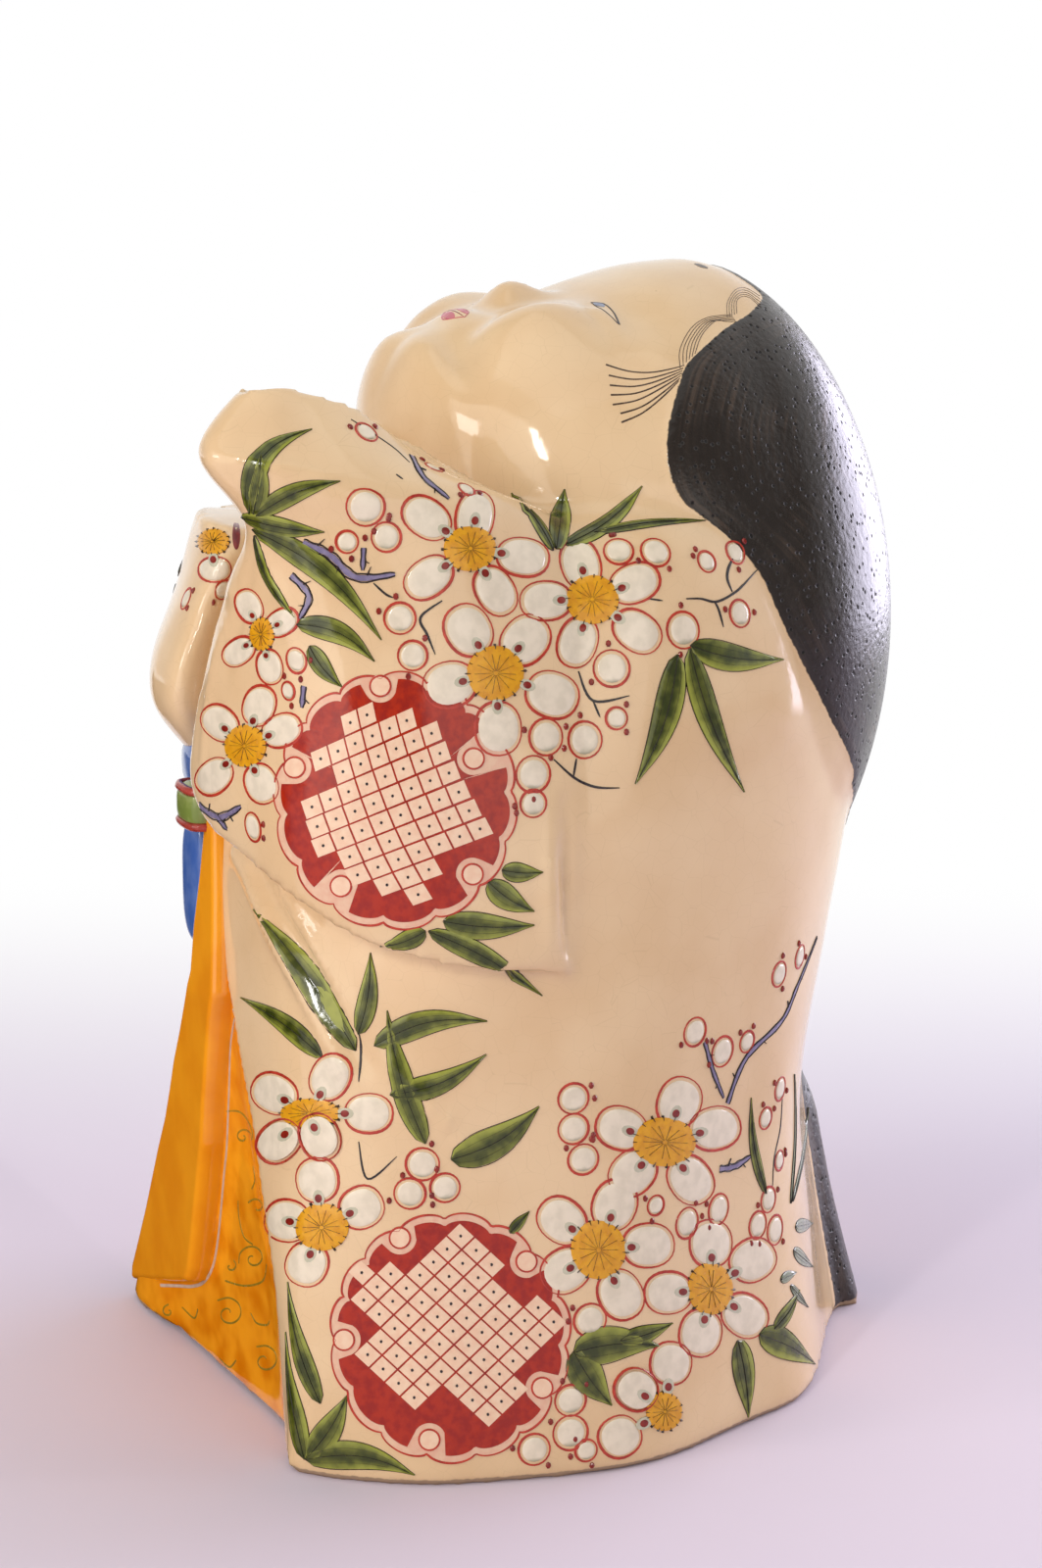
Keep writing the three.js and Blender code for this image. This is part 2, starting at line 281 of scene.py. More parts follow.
class NodeSheet:
    """Lays out the nodes of one tree."""

    def __init__(self, tree: bpy.types.NodeTree) -> None:
        """Work on a tree."""
        self.tree = tree

    def node(self, kind: str, inputs: dict[str | int, object] | None = None,
             **settings: object) -> bpy.types.Node:
        """Add a node, set its properties and feed its inputs."""
        made = self.tree.nodes.new(kind)
        for name, value in settings.items():
            setattr(made, name, value)
        for name, value in (inputs or {}).items():
            self.feed(made.inputs[name], value)
        return made

    def feed(self, socket: Socket, value: object) -> None:
        """Link an input, or set its plain value."""
        if isinstance(value, Socket):
            self.tree.links.new(value, socket)
        elif isinstance(value, tuple):
            socket.default_value = (*value, 1.0)[: len(socket.default_value)]
        else:
            socket.default_value = value

    def between(self, value: Socket, low: float, high: float,
                out_low: float = 0.0, out_high: float = 1.0) -> Socket:
        """Map low..high smoothly to out_low..out_high."""
        inputs = {"Value": value, "From Min": low, "From Max": high, "To Min": out_low, "To Max": out_high}
        return self.node("ShaderNodeMapRange", inputs, interpolation_type="SMOOTHSTEP").outputs["Result"]

    def toward(self, vector: Socket, way: Row) -> Socket:
        """Part of a vector that points one way."""
        made = self.node("ShaderNodeVectorMath", {0: vector, 1: way}, operation="DOT_PRODUCT")
        return made.outputs["Value"]


class ShaderSheet(NodeSheet):
    """Lays out the nodes of one material round a Principled surface."""

    def __init__(self, name: str) -> None:
        """Start a material that holds only its surface and output."""
        self.material = bpy.data.materials.new(name)
        self.material.use_nodes = True
        super().__init__(self.material.node_tree)
        self.tree.nodes.clear()
        self.surface = self.node("ShaderNodeBsdfPrincipled")
        self.output = self.node("ShaderNodeOutputMaterial", {"Surface": self.surface.outputs[0]})
        self.coordinates = self.node("ShaderNodeTexCoord").outputs["Object"]

    def attribute(self, name: str, vector: bool = False) -> Socket:
        """Read a point attribute as a number or a vector."""
        return self.node("ShaderNodeAttribute", attribute_name=name).outputs["Vector" if vector else "Fac"]

    def noise(self, size_mm: float, detail: float = 2.0, at: Socket | None = None) -> Socket:
        """Cloudy noise whose features are about size_mm wide, or one unit of the vector at."""
        scale = 1 / (size_mm * MM) if at is None else 1.0
        inputs = {"Vector": self.coordinates if at is None else at, "Scale": scale, "Detail": detail}
        return self.node("ShaderNodeTexNoise", inputs).outputs["Fac"]

    def cells(self, size_mm: float, feature: str) -> Socket:
        """Distance to the middle (F1) or to the edge of cells about size_mm wide, in cells."""
        inputs = {"Vector": self.coordinates, "Scale": 1 / (size_mm * MM)}
        return self.node("ShaderNodeTexVoronoi", inputs, feature=feature).outputs["Distance"]

    def wander(self, size_mm: float, reach: float = 0.12) -> Socket:
        """A number that wanders smoothly by up to reach to both sides of zero."""
        return self.between(self.noise(size_mm), 0.2, 0.8, -reach, reach)

    def combine(self, kind: str, a: object, b: object) -> Socket:
        """Combine two numbers by a Math node."""
        return self.node("ShaderNodeMath", {0: a, 1: b}, operation=kind).outputs[0]

    def plus(self, a: object, b: object) -> Socket:
        """Add two numbers."""
        return self.combine("ADD", a, b)

    def times(self, a: object, b: object) -> Socket:
        """Multiply two numbers."""
        return self.combine("MULTIPLY", a, b)

    def mix(self, share: object, a: object, b: object) -> Socket:
        """Mix two colours."""
        return self.node("ShaderNodeMix", {0: share, 6: a, 7: b}, data_type="RGBA").outputs[2]

    def bump(self, height: Socket, depth_mm: float, strength: float = 1.0,
             under: Socket | None = None) -> Socket:
        """Turn a height into a bent normal."""
        inputs = {"Strength": strength, "Distance": depth_mm * MM, "Height": height}
        if under is not None:
            inputs["Normal"] = under
        return self.node("ShaderNodeBump", inputs).outputs["Normal"]

    def finish(self, colour: object, roughness: object, normal: Socket | None = None,
               specular: float | None = None) -> bpy.types.Material:
        """Feed the surface and hand the material over."""
        names = ("Base Color", "Roughness", "Normal", "Specular IOR Level")
        for name, value in zip(names, (colour, roughness, normal, specular)):
            if value is not None:
                self.feed(self.surface.inputs[name], value)
        return self.material


@dataclass(frozen=True)
class Enamel:
    """An enamel or glaze of one colour that drifts a little.

    Args:
        name: Name of the material.
        colour, drift: Main colour, linear, and the colour that the clouds in it go to.
        roughness: Roughness of its gloss.
        cloud_mm, bump_mm: Width of the clouds, and height of its unevenness.
    """

    name: str
    colour: Colour
    drift: Colour
    roughness: float = 0.14
    cloud_mm: float = 1.6
    bump_mm: float = 0.02

    GLOSS_SHARES = (0.8, 1.4)

    def material(self) -> bpy.types.Material:
        """Make the material."""
        sheet = ShaderSheet(self.name)
        cloud = sheet.between(sheet.noise(self.cloud_mm, 3.0), 0.35, 0.68)
        colour = self.tint(sheet, sheet.mix(cloud, self.colour, self.drift))
        smoothest, dullest = (self.roughness * share for share in self.GLOSS_SHARES)
        rough = sheet.between(sheet.noise(self.cloud_mm * 2), 0.3, 0.7, smoothest, dullest)
        return sheet.finish(colour, rough, sheet.bump(sheet.noise(self.cloud_mm / 2), self.bump_mm))

    def tint(self, sheet: ShaderSheet, colour: Socket) -> Socket:
        """Leave the drifting colour as it is."""
        return colour


@dataclass(frozen=True)
class ShadedEnamel(Enamel):
    """An enamel whose colour passes to another with the point attribute shade.

    Args:
        toward: Colour where shade is one.
        reach: Values of shade where the passing starts and ends.
    """

    toward: Colour = (0.1, 0.1, 0.1)
    reach: Span = (0.0, 1.0)

    def tint(self, sheet: ShaderSheet, colour: Socket) -> Socket:
        """Mix in the other colour by shade, its edge broken by fine noise."""
        shade = sheet.plus(sheet.attribute("shade"), sheet.wander(self.cloud_mm))
        share = sheet.between(shade, *self.reach)
        return sheet.mix(share, colour, self.toward)


@dataclass(frozen=True)
class CastingGlaze:
    """The glazed body: cream, with the brushed hair, the orange kimono and the bare foot.

    Args:
        cream, cream_deep: The body's colour, linear, and the glaze where it lies thicker.
        speck, crack: Pinholes and crackle in the cream.
        orange, orange_deep: The kimono in the front opening, and the deeper orange that random pools over it
            drift to.
        hair, hair_streak, hair_pit_shade: The hair's ground, its brush streaks, and the darker colour of its
            pinholes, which is painted shade in them.
        foot: Bare clay under the hem.
        gloss: Least and greatest roughness of the glaze.
        hair_dull, bare_dull: Roughness added on the hair, and on the foot and in the hair's pinholes.
        edge_mm: Half width of the soft edge of a painted zone.
    """

    cream: Colour = (0.78, 0.565, 0.338)
    cream_deep: Colour = (0.715, 0.49, 0.275)
    speck: Colour = (0.30, 0.17, 0.08)
    crack: Colour = (0.42, 0.27, 0.15)
    orange: Colour = (0.90, 0.345, 0.012)
    orange_deep: Colour = (0.70, 0.20, 0.002)
    hair: Colour = (0.014, 0.008, 0.0045)
    hair_streak: Colour = (0.060, 0.038, 0.025)
    hair_pit_shade: Colour = (0.004, 0.003, 0.002)
    foot: Colour = (0.36, 0.24, 0.15)
    gloss: Span = (0.065, 0.13)
    hair_dull: float = 0.20
    bare_dull: float = 0.6
    edge_mm: float = 0.14

    def material(self) -> bpy.types.Material:
        """Make the material from the zone attributes, which hold distances in mm inside each zone."""
        sheet = ShaderSheet("cream_glaze_body")
        hair, orange, foot = (self.zone(sheet, name) for name in ("hair", "orange", "foot"))
        pool = sheet.between(sheet.noise(9.0), 0.35, 0.7)
        colour = sheet.mix(orange, self.ground(sheet), sheet.mix(pool, self.orange, self.orange_deep))
        streaks = self.streaks(sheet)
        brushed = sheet.mix(streaks, self.hair, self.hair_streak)
        pits = sheet.times(sheet.between(sheet.cells(1.7, "F1"), 0.10, 0.30, 1.0, 0.0), hair)
        # The pinholes get a darker colour: painted shade in the pits, laid over their real bump.
        colour = sheet.mix(hair, colour, sheet.mix(pits, brushed, self.hair_pit_shade))
        colour = sheet.mix(foot, colour, self.foot)
        rough = sheet.between(sheet.noise(4.0), 0.3, 0.75, *self.gloss)
        for zone, dull in ((hair, self.hair_dull), (pits, self.bare_dull), (foot, self.bare_dull)):
            rough = sheet.plus(rough, sheet.times(zone, dull))
        return sheet.finish(colour, rough, self.unevenness(sheet, hair, streaks, pits))

    def zone(self, sheet: ShaderSheet, name: str) -> Socket:
        """One inside the zone and zero outside, with a brush edge that wanders a little."""
        edge = sheet.plus(sheet.attribute(name), sheet.wander(1.3))
        return sheet.between(edge, -self.edge_mm, self.edge_mm)

    def ground(self, sheet: ShaderSheet) -> Socket:
        """The cream in two tones, with sparse brown pinholes and a faint crackle."""
        cloud = sheet.between(sheet.noise(26.0, 3.0), 0.3, 0.7)
        near = sheet.between(sheet.cells(7.0, "F1"), 0.012, 0.035, 1.0, 0.0)
        specks = sheet.times(near, sheet.between(sheet.noise(15.0), 0.5, 0.62, 0.0, 0.7))
        crackle = sheet.between(sheet.cells(3.4, "DISTANCE_TO_EDGE"), 0.0, 0.016, 0.16, 0.0)
        colour = sheet.mix(specks, sheet.mix(cloud, self.cream, self.cream_deep), self.speck)
        return sheet.mix(crackle, colour, self.crack)

    def streaks(self, sheet: ShaderSheet) -> Socket:
        """Brush streaks along the hair, by its own strand coordinate, stronger in some places."""
        fine = sheet.between(sheet.noise(1.0, 4.0, at=sheet.attribute("strand", vector=True)), 0.42, 0.72)
        return sheet.times(fine, sheet.between(sheet.noise(16.0), 0.42, 0.62, 0.15, 1.0))

    def unevenness(self, sheet: ShaderSheet, hair: Socket, streaks: Socket, pits: Socket) -> Socket:
        """Slow swells all over, orange peel that is strongest on the hair, then its streaks and pits."""
        swell = sheet.bump(sheet.noise(11.0), 0.16, 0.6)
        peel = sheet.times(sheet.noise(1.3, 3.0), sheet.plus(sheet.times(hair, 0.5), 0.06))
        normal = sheet.bump(peel, 0.30, 0.8, under=swell)
        normal = sheet.bump(sheet.times(streaks, hair), 0.03, 0.5, under=normal)
        return sheet.bump(sheet.combine("SUBTRACT", 1.0, pits), 0.16, 0.8, under=normal)


@dataclass(frozen=True)
class Fold:
    """A ridge or a groove of the clay, along points of the photograph.

    Args:
        through: Points it runs through.
        height, width: Height in mm, negative for a groove, and half width in mm.
        tail: Share of the height left at both ends.
        both: Whether her right side has it too.
    """

    through: Path
    height: float
    width: float
    tail: float = 0.3
    both: bool = False


FOLDS = (
    Fold(((240, 872), (256, 900), (272, 938), (295, 984), (318, 1028), (350, 1090)), 1.9, 1.8, 0.5),
    Fold(((262, 890), (290, 935), (318, 980), (345, 1035), (372, 1080)), -1.4, 2.6, 0.4),
    Fold(((284, 905), (307, 944), (330, 984), (366, 1052)), 1.7, 1.6, 0.3),
    Fold(((372, 1062), (440, 1130), (530, 1226)), 0.6, 1.8, 0.1),
    Fold(((565, 984), (563, 930), (562, 870), (562, 800)), 0.8, 1.7, 0.0, True),
    Fold(((581, 984), (580, 930), (578, 870), (577, 800)), -1.5, 1.5, 0.0, True),
    Fold(((210, 468), (240, 469), (270, 474), (310, 482), (340, 488)), 0.9, 1.5, 0.2),
    Fold(((246, 560), (236, 605), (222, 660), (211, 720), (206, 780)), 0.7, 1.3, 0.4),
    Fold(((258, 560), (250, 610), (238, 660), (228, 700)), -0.5, 1.3, 0.2),
    Fold(((262, 545), (276, 580), (288, 615), (297, 660)), 0.7, 1.5, 0.2),
    Fold(((598, 316), (612, 320), (628, 336)), 0.5, 1.6, 0.2, True),
)


# The robe's sections from low to high, on her left: x and y of each point, from the middle of the
# front to the side, and on from the side to the middle of the back. Her right front differs low down.
ROBE_FRONT = (
    (0, -70.5, 30, -68.5, 45, -71.5, 51.5, -71.8, 62, -59.5, 69, -43.5),
    (0, -70.5, 25, -69.5, 42, -71.5, 51, -69.5, 60, -57.5, 66.5, -42),
    (0, -71, 15, -70.5, 28, -71.5, 47, -68, 58.5, -57, 65, -41),
    (0, -71, 6, -71, 14, -71, 39, -68.5, 55.5, -57.5, 65, -41),
    (0, -70, 6, -70.5, 15, -70, 36, -67, 53, -57, 64.5, -41),
    (0, -67, 7, -67, 15, -66, 34, -61, 50, -53, 64, -37),
    (0, -57, 8, -57, 16, -56, 32, -52, 48, -45, 61.5, -32),
    (0, -45, 8, -45, 17, -44, 31, -41, 46, -36, 58, -24),
    (0, -36, 8, -36, 16, -35.5, 29, -33, 42, -28, 53.5, -18),
    (0, -28, 7, -28, 13, -27.5, 24, -26, 34, -21, 44, -13),
)
ROBE_RIGHT_FRONT = (
    (0, -70.5, 26, -72.5, 49.5, -74.6, 57, -69.6, 63, -59, 69, -43.5),
    (0, -70.5, 25, -72, 43, -71.8, 51, -66, 59.5, -55.5, 66.5, -41),
    (0, -71, 15, -71.3, 27, -70.7, 42, -64, 55, -53.5, 64, -38),
    (0, -71, 6, -70.8, 12, -70, 28, -64, 47, -55, 62, -38),
    (0, -70, 6, -69.8, 12, -69, 27, -63, 45, -54, 60, -38),
)
ROBE_BACK = (
    (73.5, -10, 63, 18, 53.5, 36, 27.5, 54, 0, 69),
    (71, -10, 61, 17, 50.5, 34, 27, 50, 0, 61.8),
    (69.5, -10, 60, 16.5, 49, 33, 26.5, 47.2, 0, 57.6),
    (69, -10, 61, 18, 49.5, 35.4, 28.4, 51, 0, 59),
    (68.5, -10, 62, 19, 50, 38, 29, 54.5, 0, 64.5),
    (69, -9, 62.5, 19, 51, 39, 29.5, 57, 0, 67.5),
    (67.7, -8, 62.5, 19, 50.5, 38.5, 29.5, 56.5, 0, 67),
    (64, -5, 60, 17, 48, 35.5, 28, 53, 0, 63.5),
    (59.5, -3, 54.5, 16, 43, 33, 25, 47, 0, 57),
    (50, -2, 46, 14, 37, 28, 21, 40, 0, 49),
)
# The sleeves' sections from low to high: x, y and z of nine points round each, written for her left.
RAISED_SLEEVE = (
    (50, -20, 98, 69.4, -23, 98, 69.5, -42, 100, 62, -60, 105, 50, -70.5, 112,
     34, -75, 117, 20, -77.3, 120, 17, -73.5, 120.5, 35, -50, 110),
    (50, -19, 112, 68.9, -22, 113, 69.3, -42, 116, 62.5, -60, 121, 52.5, -70, 126,
     34, -76, 128, 15, -78.3, 128, 12, -74.5, 129, 30, -50, 124),
    (48, -14, 138, 65.5, -16, 139, 67.6, -41, 143, 63, -57, 146, 54, -68, 148,
     38, -74.5, 147, 20.5, -77.7, 146, 17.5, -73.5, 146, 28, -48, 144),
    (45, -12, 162, 59, -14, 163, 63.5, -39, 167, 60.5, -56, 169, 53, -69, 170,
     43, -74, 168.5, 32, -76, 167, 28, -72, 167, 30, -48, 166),
    (43, -12, 172, 52.5, -14, 173, 60, -38, 180, 58.5, -56, 181, 53, -69, 181,
     49, -74, 181, 42.5, -75.6, 180, 36, -71.5, 180, 30, -50, 178),
    (42, -14, 177, 48, -16, 179, 55, -38, 187, 57, -57, 188.5, 53, -70, 191,
     50, -76, 192, 43.5, -83.4, 193, 33, -78.5, 192, 30, -50, 184),
    (42, -18, 179, 46, -20, 181, 44, -38, 188.5, 43, -53, 200, 42, -64, 204.5,
     41, -71, 205.5, 39, -75, 204, 34, -71, 204, 36, -50, 198),
)
LOWERED_SLEEVE = (
    (50, -20, 98, 69.4, -23, 98, 68.6, -38, 103, 60, -50, 118, 46, -60, 127,
     32, -66.5, 128, 18, -69.5, 127.5, 12, -66, 128, 30, -45, 115),
    (50, -19, 114, 68.9, -22, 115, 68, -38, 120, 60.5, -53, 130, 47, -65, 135,
     33, -72, 136, 18, -75.3, 136, 8, -71, 136, 28, -45, 130),
    (48, -14, 137, 65.5, -16, 138, 66.8, -38, 141, 60, -54, 144, 48, -65, 145,
     34, -71.8, 145, 18, -75.2, 145, 7, -71, 145, 26, -45, 144),
    (46, -12, 155, 61, -15, 156, 64, -36, 157, 58, -51, 158, 48, -60.5, 158,
     36, -66, 158, 18, -69.7, 158, 8, -66, 158, 26, -44, 157),
    (44, -12, 164, 57.5, -14, 165, 61, -34, 166, 56, -48, 167, 47, -57, 168,
     36, -63, 168, 16, -66, 167.5, 7, -62, 167, 26, -42, 166),
    (42, -13, 170, 52, -15, 170, 54, -32, 172, 50, -45, 173, 44, -55, 173,
     36, -61, 174, 17, -65.2, 174, 12, -57, 172, 28, -42, 172),
)
# Middle line of the face: y and z from the chin to the crown.
FACE_PROFILE = (
    (-36, 193), (-35.2, 198), (-33, 203.5), (-29, 209), (-22, 212.8), (-14, 214.6), (-6, 216),
    (2.7, 217.6), (10, 220.4), (20, 223.2), (29.5, 224.2),
)
# Swellings of the face: x and y of the middle, reach in x and y, and height.
FACE_SWELLINGS = (
    (24.5, -10.5, 10.5, 11.5, 5.6), (27, 9, 8, 6, -1.8), (0, -4.5, 4.6, 5.4, 3.0),
    (0, -8.2, 4.3, 3.8, 2.9), (4.6, -9.2, 2.2, 2.3, 1.7), (0, -18, 5, 4, 1.5),
    (0, -22.2, 6, 1.6, -0.7), (0, -13.8, 5, 1.9, -1.1), (9, -31, 9, 5, 2.1),
    (24, 3.4, 9.5, 1.7, 0.55), (25, 0.6, 8.5, 1.1, -0.45), (13, -19, 4, 4, -1.4),
    (19, -24.2, 9, 3.6, -4.0),
)
# The hair's border: degrees round the skull from the crown, and y.
HAIR_BORDER = (
    (0, 36.5), (8, 37.2), (16, 39.5), (24, 32.8), (28, 26.2), (33, 18.7), (37, 13.1), (42, 9.4),
    (49, 5.7), (55, 4.8), (61, 6.5), (65, 11), (74, 20.1), (86, 26.2), (102, 35.8), (116, 45.2),
    (127, 49), (150, 44), (180, 40),
)
# The hair on the back: z and half width.
HAIR_WIDTH = (
    (-4, 15.2), (0, 15), (40, 11), (76, 7.4), (95, 9), (108, 22), (122, 42), (132, 56), (142, 75),
    (230, 90),
)
# Edges of the robe's front opening: z and the distance from the middle, on her left and on her right.
OPENING_LEFT = (
    (-2, 42.8), (3.3, 42.6), (12.8, 41.3), (30.5, 39.1), (40.3, 36), (51.2, 31.2), (62.2, 26.3),
    (73.7, 18.9), (83.9, 13.2), (90.8, 9.3), (102.8, 7.3), (115.6, 3.6), (120, 0), (240, -60),
)
OPENING_RIGHT = ((-2, 53), (0, 53), (29, 45), (58, 30), (88, 15), (105, 7), (118, -1), (240, -60))
# The opening lies on the front alone, and its recess fades out before the sleeves.
OPENING_FRONT = -58
RECESS_FADE = (-73.4, -71.8)
# Shares that turn a distance along x, y or the angle into one across a slanting edge.
HAIR_SLANT = 0.75
OPENING_SLANT = 0.85
FOLD_REACH = 60.0


def face_relief(x: Array, y: Array) -> Array:
    """Sum the swellings of the face, each height * exp(-((|x| - mx) / rx)^2 - ((y - my) / ry)^2)."""
    return sum(
        height * np.exp(-(((np.abs(x) - mx) / rx) ** 2) - ((y - my) / ry) ** 2)
        for mx, my, rx, ry, height in FACE_SWELLINGS
    )


@dataclass
class Casting:
    """The figure's clay body: its nets, its union and its fine relief.

    Args:
        voxel: Fineness of the joined skin.
        ring_steps, row_steps: Samples between two points of a section, and between two sections.
        robe_heights: Heights of the robe's sections.
        skull_y, skull_z: Middle of the skull.
        skull_width, skull_back, skull_height: Reach of the head to the side, behind its middle and above.
        skull_power: Fullness of the back of the head, where 2 is a circle.
        chin_reach, chin_z: Reach of the face before the skull's middle, and height of the chin's tip.
        chin_fullness, chin_rise: Fullness of the face's outline, and how late its rings rise to the chin.
        throat: How late the throat draws in.
        face_power: Squareness of the face's rings.
        foot_inset, foot_height: Width and height of the bare foot under the hem.
        tail_top, tail_depth: Height where the hair's tail starts on the back, and its half thickness.
        tail_widths: Its half width at the hem and at its top.
        tail_proud, tail_loss: How far it stands out, how much it loses of that, and between what heights.
        hair_proud, recess: Height of the hair's thick edge, and depth of the robe's front opening.
    """

    voxel: float = 1.3
    ring_steps: int = 8
    row_steps: int = 9
    robe_heights: Row = (0, 29, 58, 88, 108, 126, 145, 163, 175, 181)
    skull_y: float = 29.5
    skull_z: float = 153
    skull_width: float = 57
    skull_back: float = 41
    skull_height: float = 71.2
    skull_power: float = 1.87
    chin_reach: float = 65.5
    chin_z: float = 193
    chin_fullness: float = 2.3
    chin_rise: float = 1.5
    throat: float = 0.8
    face_power: float = 2.35
    foot_inset: float = 0.9
    foot_height: float = 1.6
    tail_top: float = 76
    tail_widths: Span = (13, 5)
    tail_depth: float = 6.5
    tail_proud: Span = (4.0, 3.6)
    tail_loss: Span = (42, 58)
    hair_proud: float = 0.45
    recess: float = 1.1

    def robe(self) -> Shell:
        """Loft the robe: a spline round each section, and splines from section to section."""
        sections = []
        for row, z in enumerate(self.robe_heights):
            back = ROBE_BACK[row]
            left = np.reshape(ROBE_FRONT[row] + back, (-1, 2))
            far = ROBE_RIGHT_FRONT[row] if row < len(ROBE_RIGHT_FRONT) else ROBE_FRONT[row]
            right = np.reshape(far + back, (-1, 2))[1:-1][::-1] * (-1, 1)
            outline = np.concatenate([left, right]).astype(float)
            sections.append(np.column_stack([outline, np.full(len(outline), float(z))]))
        rings = self.net(np.array(sections))
        hem = rings[0] + (0, 0, self.foot_height)
        reach = np.linalg.norm(rings[0][:, :2], axis=1, keepdims=True)
        inset = np.repeat(1 - self.foot_inset / reach, 2, axis=1)
        foot = rings[0] * np.column_stack([inset, np.ones(len(reach))])
        return Shell.loft(np.concatenate([foot[None], hem[None], rings[1:]]))

    def net(self, sections: Array) -> Array:
        """Smooth sections to rings by splines from section to section, then round each ring."""
        rows = spline(sections, self.row_steps, False)
        return np.swapaxes(spline(np.swapaxes(rows, 0, 1), self.ring_steps, True), 0, 1)

    def sleeve(self, table: Table, side: int) -> Shell:
        """Loft a sleeve through its rings, mirrored to her right for side -1."""
        rings = self.net(np.reshape(table, (len(table), -1, 3)).astype(float)) * (side, 1, 1)
        return Shell.loft(rings if side > 0 else rings[:, ::-1])

    def head(self, rings: int = 150, around: int = 220) -> Shell:
        """Loft the head from rings across its length.

        Behind the skull's middle a ring is an ellipse whose size falls as (1 - t^p)^(1/p). Under the face it
        is a squarer oval whose top follows the face's profile and swellings.
        """
        k = np.arange(1, rings)
        share = ((1 - np.cos(np.pi * k / rings)) / 2)[:, None]
        y = self.skull_y - self.chin_reach + (self.chin_reach + self.skull_back) * share
        angle = 2 * np.pi * np.arange(around)[None, :] / around
        behind = y > self.skull_y
        t = np.where(behind, (y - self.skull_y) / self.skull_back, (self.skull_y - y) / self.chin_reach)
        round_off = (1 - t**self.skull_power) ** (1 / self.skull_power)
        width = self.skull_width * np.where(behind, round_off, np.sqrt(1 - t**self.chin_fullness))
        rise = np.where(behind, 0, t**self.chin_rise)
        middle = self.skull_z + (self.chin_z - self.skull_z) * rise
        profile = curve_value(FACE_PROFILE, y)
        up = np.where(behind, self.skull_height * round_off, profile - middle)
        down = self.skull_height * np.where(behind, round_off, (1 - t) ** self.throat)
        power = np.where(behind, 2, 2 + (self.face_power - 2) * np.minimum(3 * t, 1))
        x = width * squared(np.cos(angle), power)
        lift = squared(np.sin(angle), power)
        relief = np.where(behind, 0, np.maximum(lift, 0) * face_relief(x, y))
        z = middle + np.where(lift > 0, up, down) * lift + relief
        return Shell.loft(np.stack([x, np.broadcast_to(y, x.shape), z], axis=-1)[::-1])

    def hair_tail(self, levels: int = 24, around: int = 32) -> Shell:
        """The hair's tail down the back: ellipses stacked along the ridge, widening to the hem."""
        z = np.linspace(0, self.tail_top, levels)
        knots = [(height, row[-1]) for height, row in zip(self.robe_heights, ROBE_BACK)]
        low, high = self.tail_widths
        width = low + (high - low) * z / self.tail_top
        turn = 2 * np.pi * np.arange(around) / around
        x = width[:, None] * np.cos(turn)
        proud = self.tail_proud[0] - self.tail_proud[1] * smooth_step(z, *self.tail_loss)
        middle = curve_value(knots, z) + proud - self.tail_depth
        y = middle[:, None] + self.tail_depth * np.sin(turn)
        return Shell.loft(np.stack([x, y, np.broadcast_to(z[:, None], x.shape)], axis=-1))

    def folds(self, skin: Piece, view: PhotographView, p: Array) -> Array:
        """Raise and press in the folds.

        Each adds height * exp(-(d / w)^2), with d the distance from its line, and fades to the share tail at
        both ends. The camera's sight through its points finds the line on the skin.
        """
        probe = SkinProbe(skin)
        total = np.zeros(len(p))
        for fold in FOLDS:
            for mirrored in (False, True) if fold.both else (False,):
                starts, aims = view.rays(np.array(fold.through, float), mirrored)
                line = spline(probe.measure(starts, aims)["seen"], 6, False)
                near = np.linalg.norm(p - line.mean(axis=0), axis=1) < FOLD_REACH
                away = np.linalg.norm(p[near, None] - line[None], axis=2)
                nearest = away.argmin(axis=1)
                share = nearest / (len(line) - 1)
                strength = np.interp(share, (0, 0.25, 0.6, 1), (fold.tail, 1, 1, fold.tail))
                total[near] += fold.height * strength * np.exp(-((away.min(axis=1) / fold.width) ** 2))
        return total

    def build(self, view: PhotographView) -> Piece:
        """Join the nets to one skin, soften it, press in the relief and store the painted zones."""
        sleeves = (self.sleeve(RAISED_SLEEVE, 1), self.sleeve(LOWERED_SLEEVE, -1))
        nets = Shell.joined([self.robe(), self.head(), *sleeves, self.hair_tail()])
        rough = nets.object("casting_nets")
        union = rough.modifiers.new("union", "REMESH")
        union.mode = "VOXEL"
        union.voxel_size = self.voxel * MM
        soften = rough.modifiers.new("soften", "SMOOTH")
        soften.factor = 0.5
        soften.iterations = 3
        mesh = bpy.data.meshes.new_from_object(rough.evaluated_get(bpy.context.evaluated_depsgraph_get()))
        bpy.data.objects.remove(rough)
        skin = in_scene("glazed_casting", mesh)
        mesh.shade_smooth()
        points = vectors(mesh.vertices, "co") / MM - SHIFT
        normals = vectors(mesh.vertex_normals, "vector")
        points += normals * (self.relief(points) + self.folds(skin, view, points))[:, None]
        points[:, 2] = np.maximum(points[:, 2], 0)
        mesh.vertices.foreach_set("co", ((points + SHIFT) * MM).astype(np.float32).ravel())
        mesh.update()
        for name, values in self.zones(points).items():
            store(mesh, name, values)
        return skin

    def round_skull(self, p: Array) -> Array:
        """Angle round the skull from the crown, the same on both sides, in radians."""
        return np.arctan2(np.abs(p[:, 0]), p[:, 2] - self.skull_z)

    def hair(self, p: Array) -> Array:
        """Distance inside the hair: behind its border round the skull, and within its width on the back."""
        behind = p[:, 1] - curve_value(HAIR_BORDER, np.degrees(self.round_skull(p)))
        within = curve_value(HAIR_WIDTH, p[:, 2]) - np.abs(p[:, 0])
        return np.minimum(behind, within) * HAIR_SLANT

    def opening(self, p: Array) -> Array:
        """Distance inside the robe's front opening, by its edge's place at each height."""
        left = curve_value(OPENING_LEFT, p[:, 2]) - p[:, 0]
        right = curve_value(OPENING_RIGHT, p[:, 2]) + p[:, 0]
        return np.minimum(np.minimum(left, right) * OPENING_SLANT, OPENING_FRONT - p[:, 1])

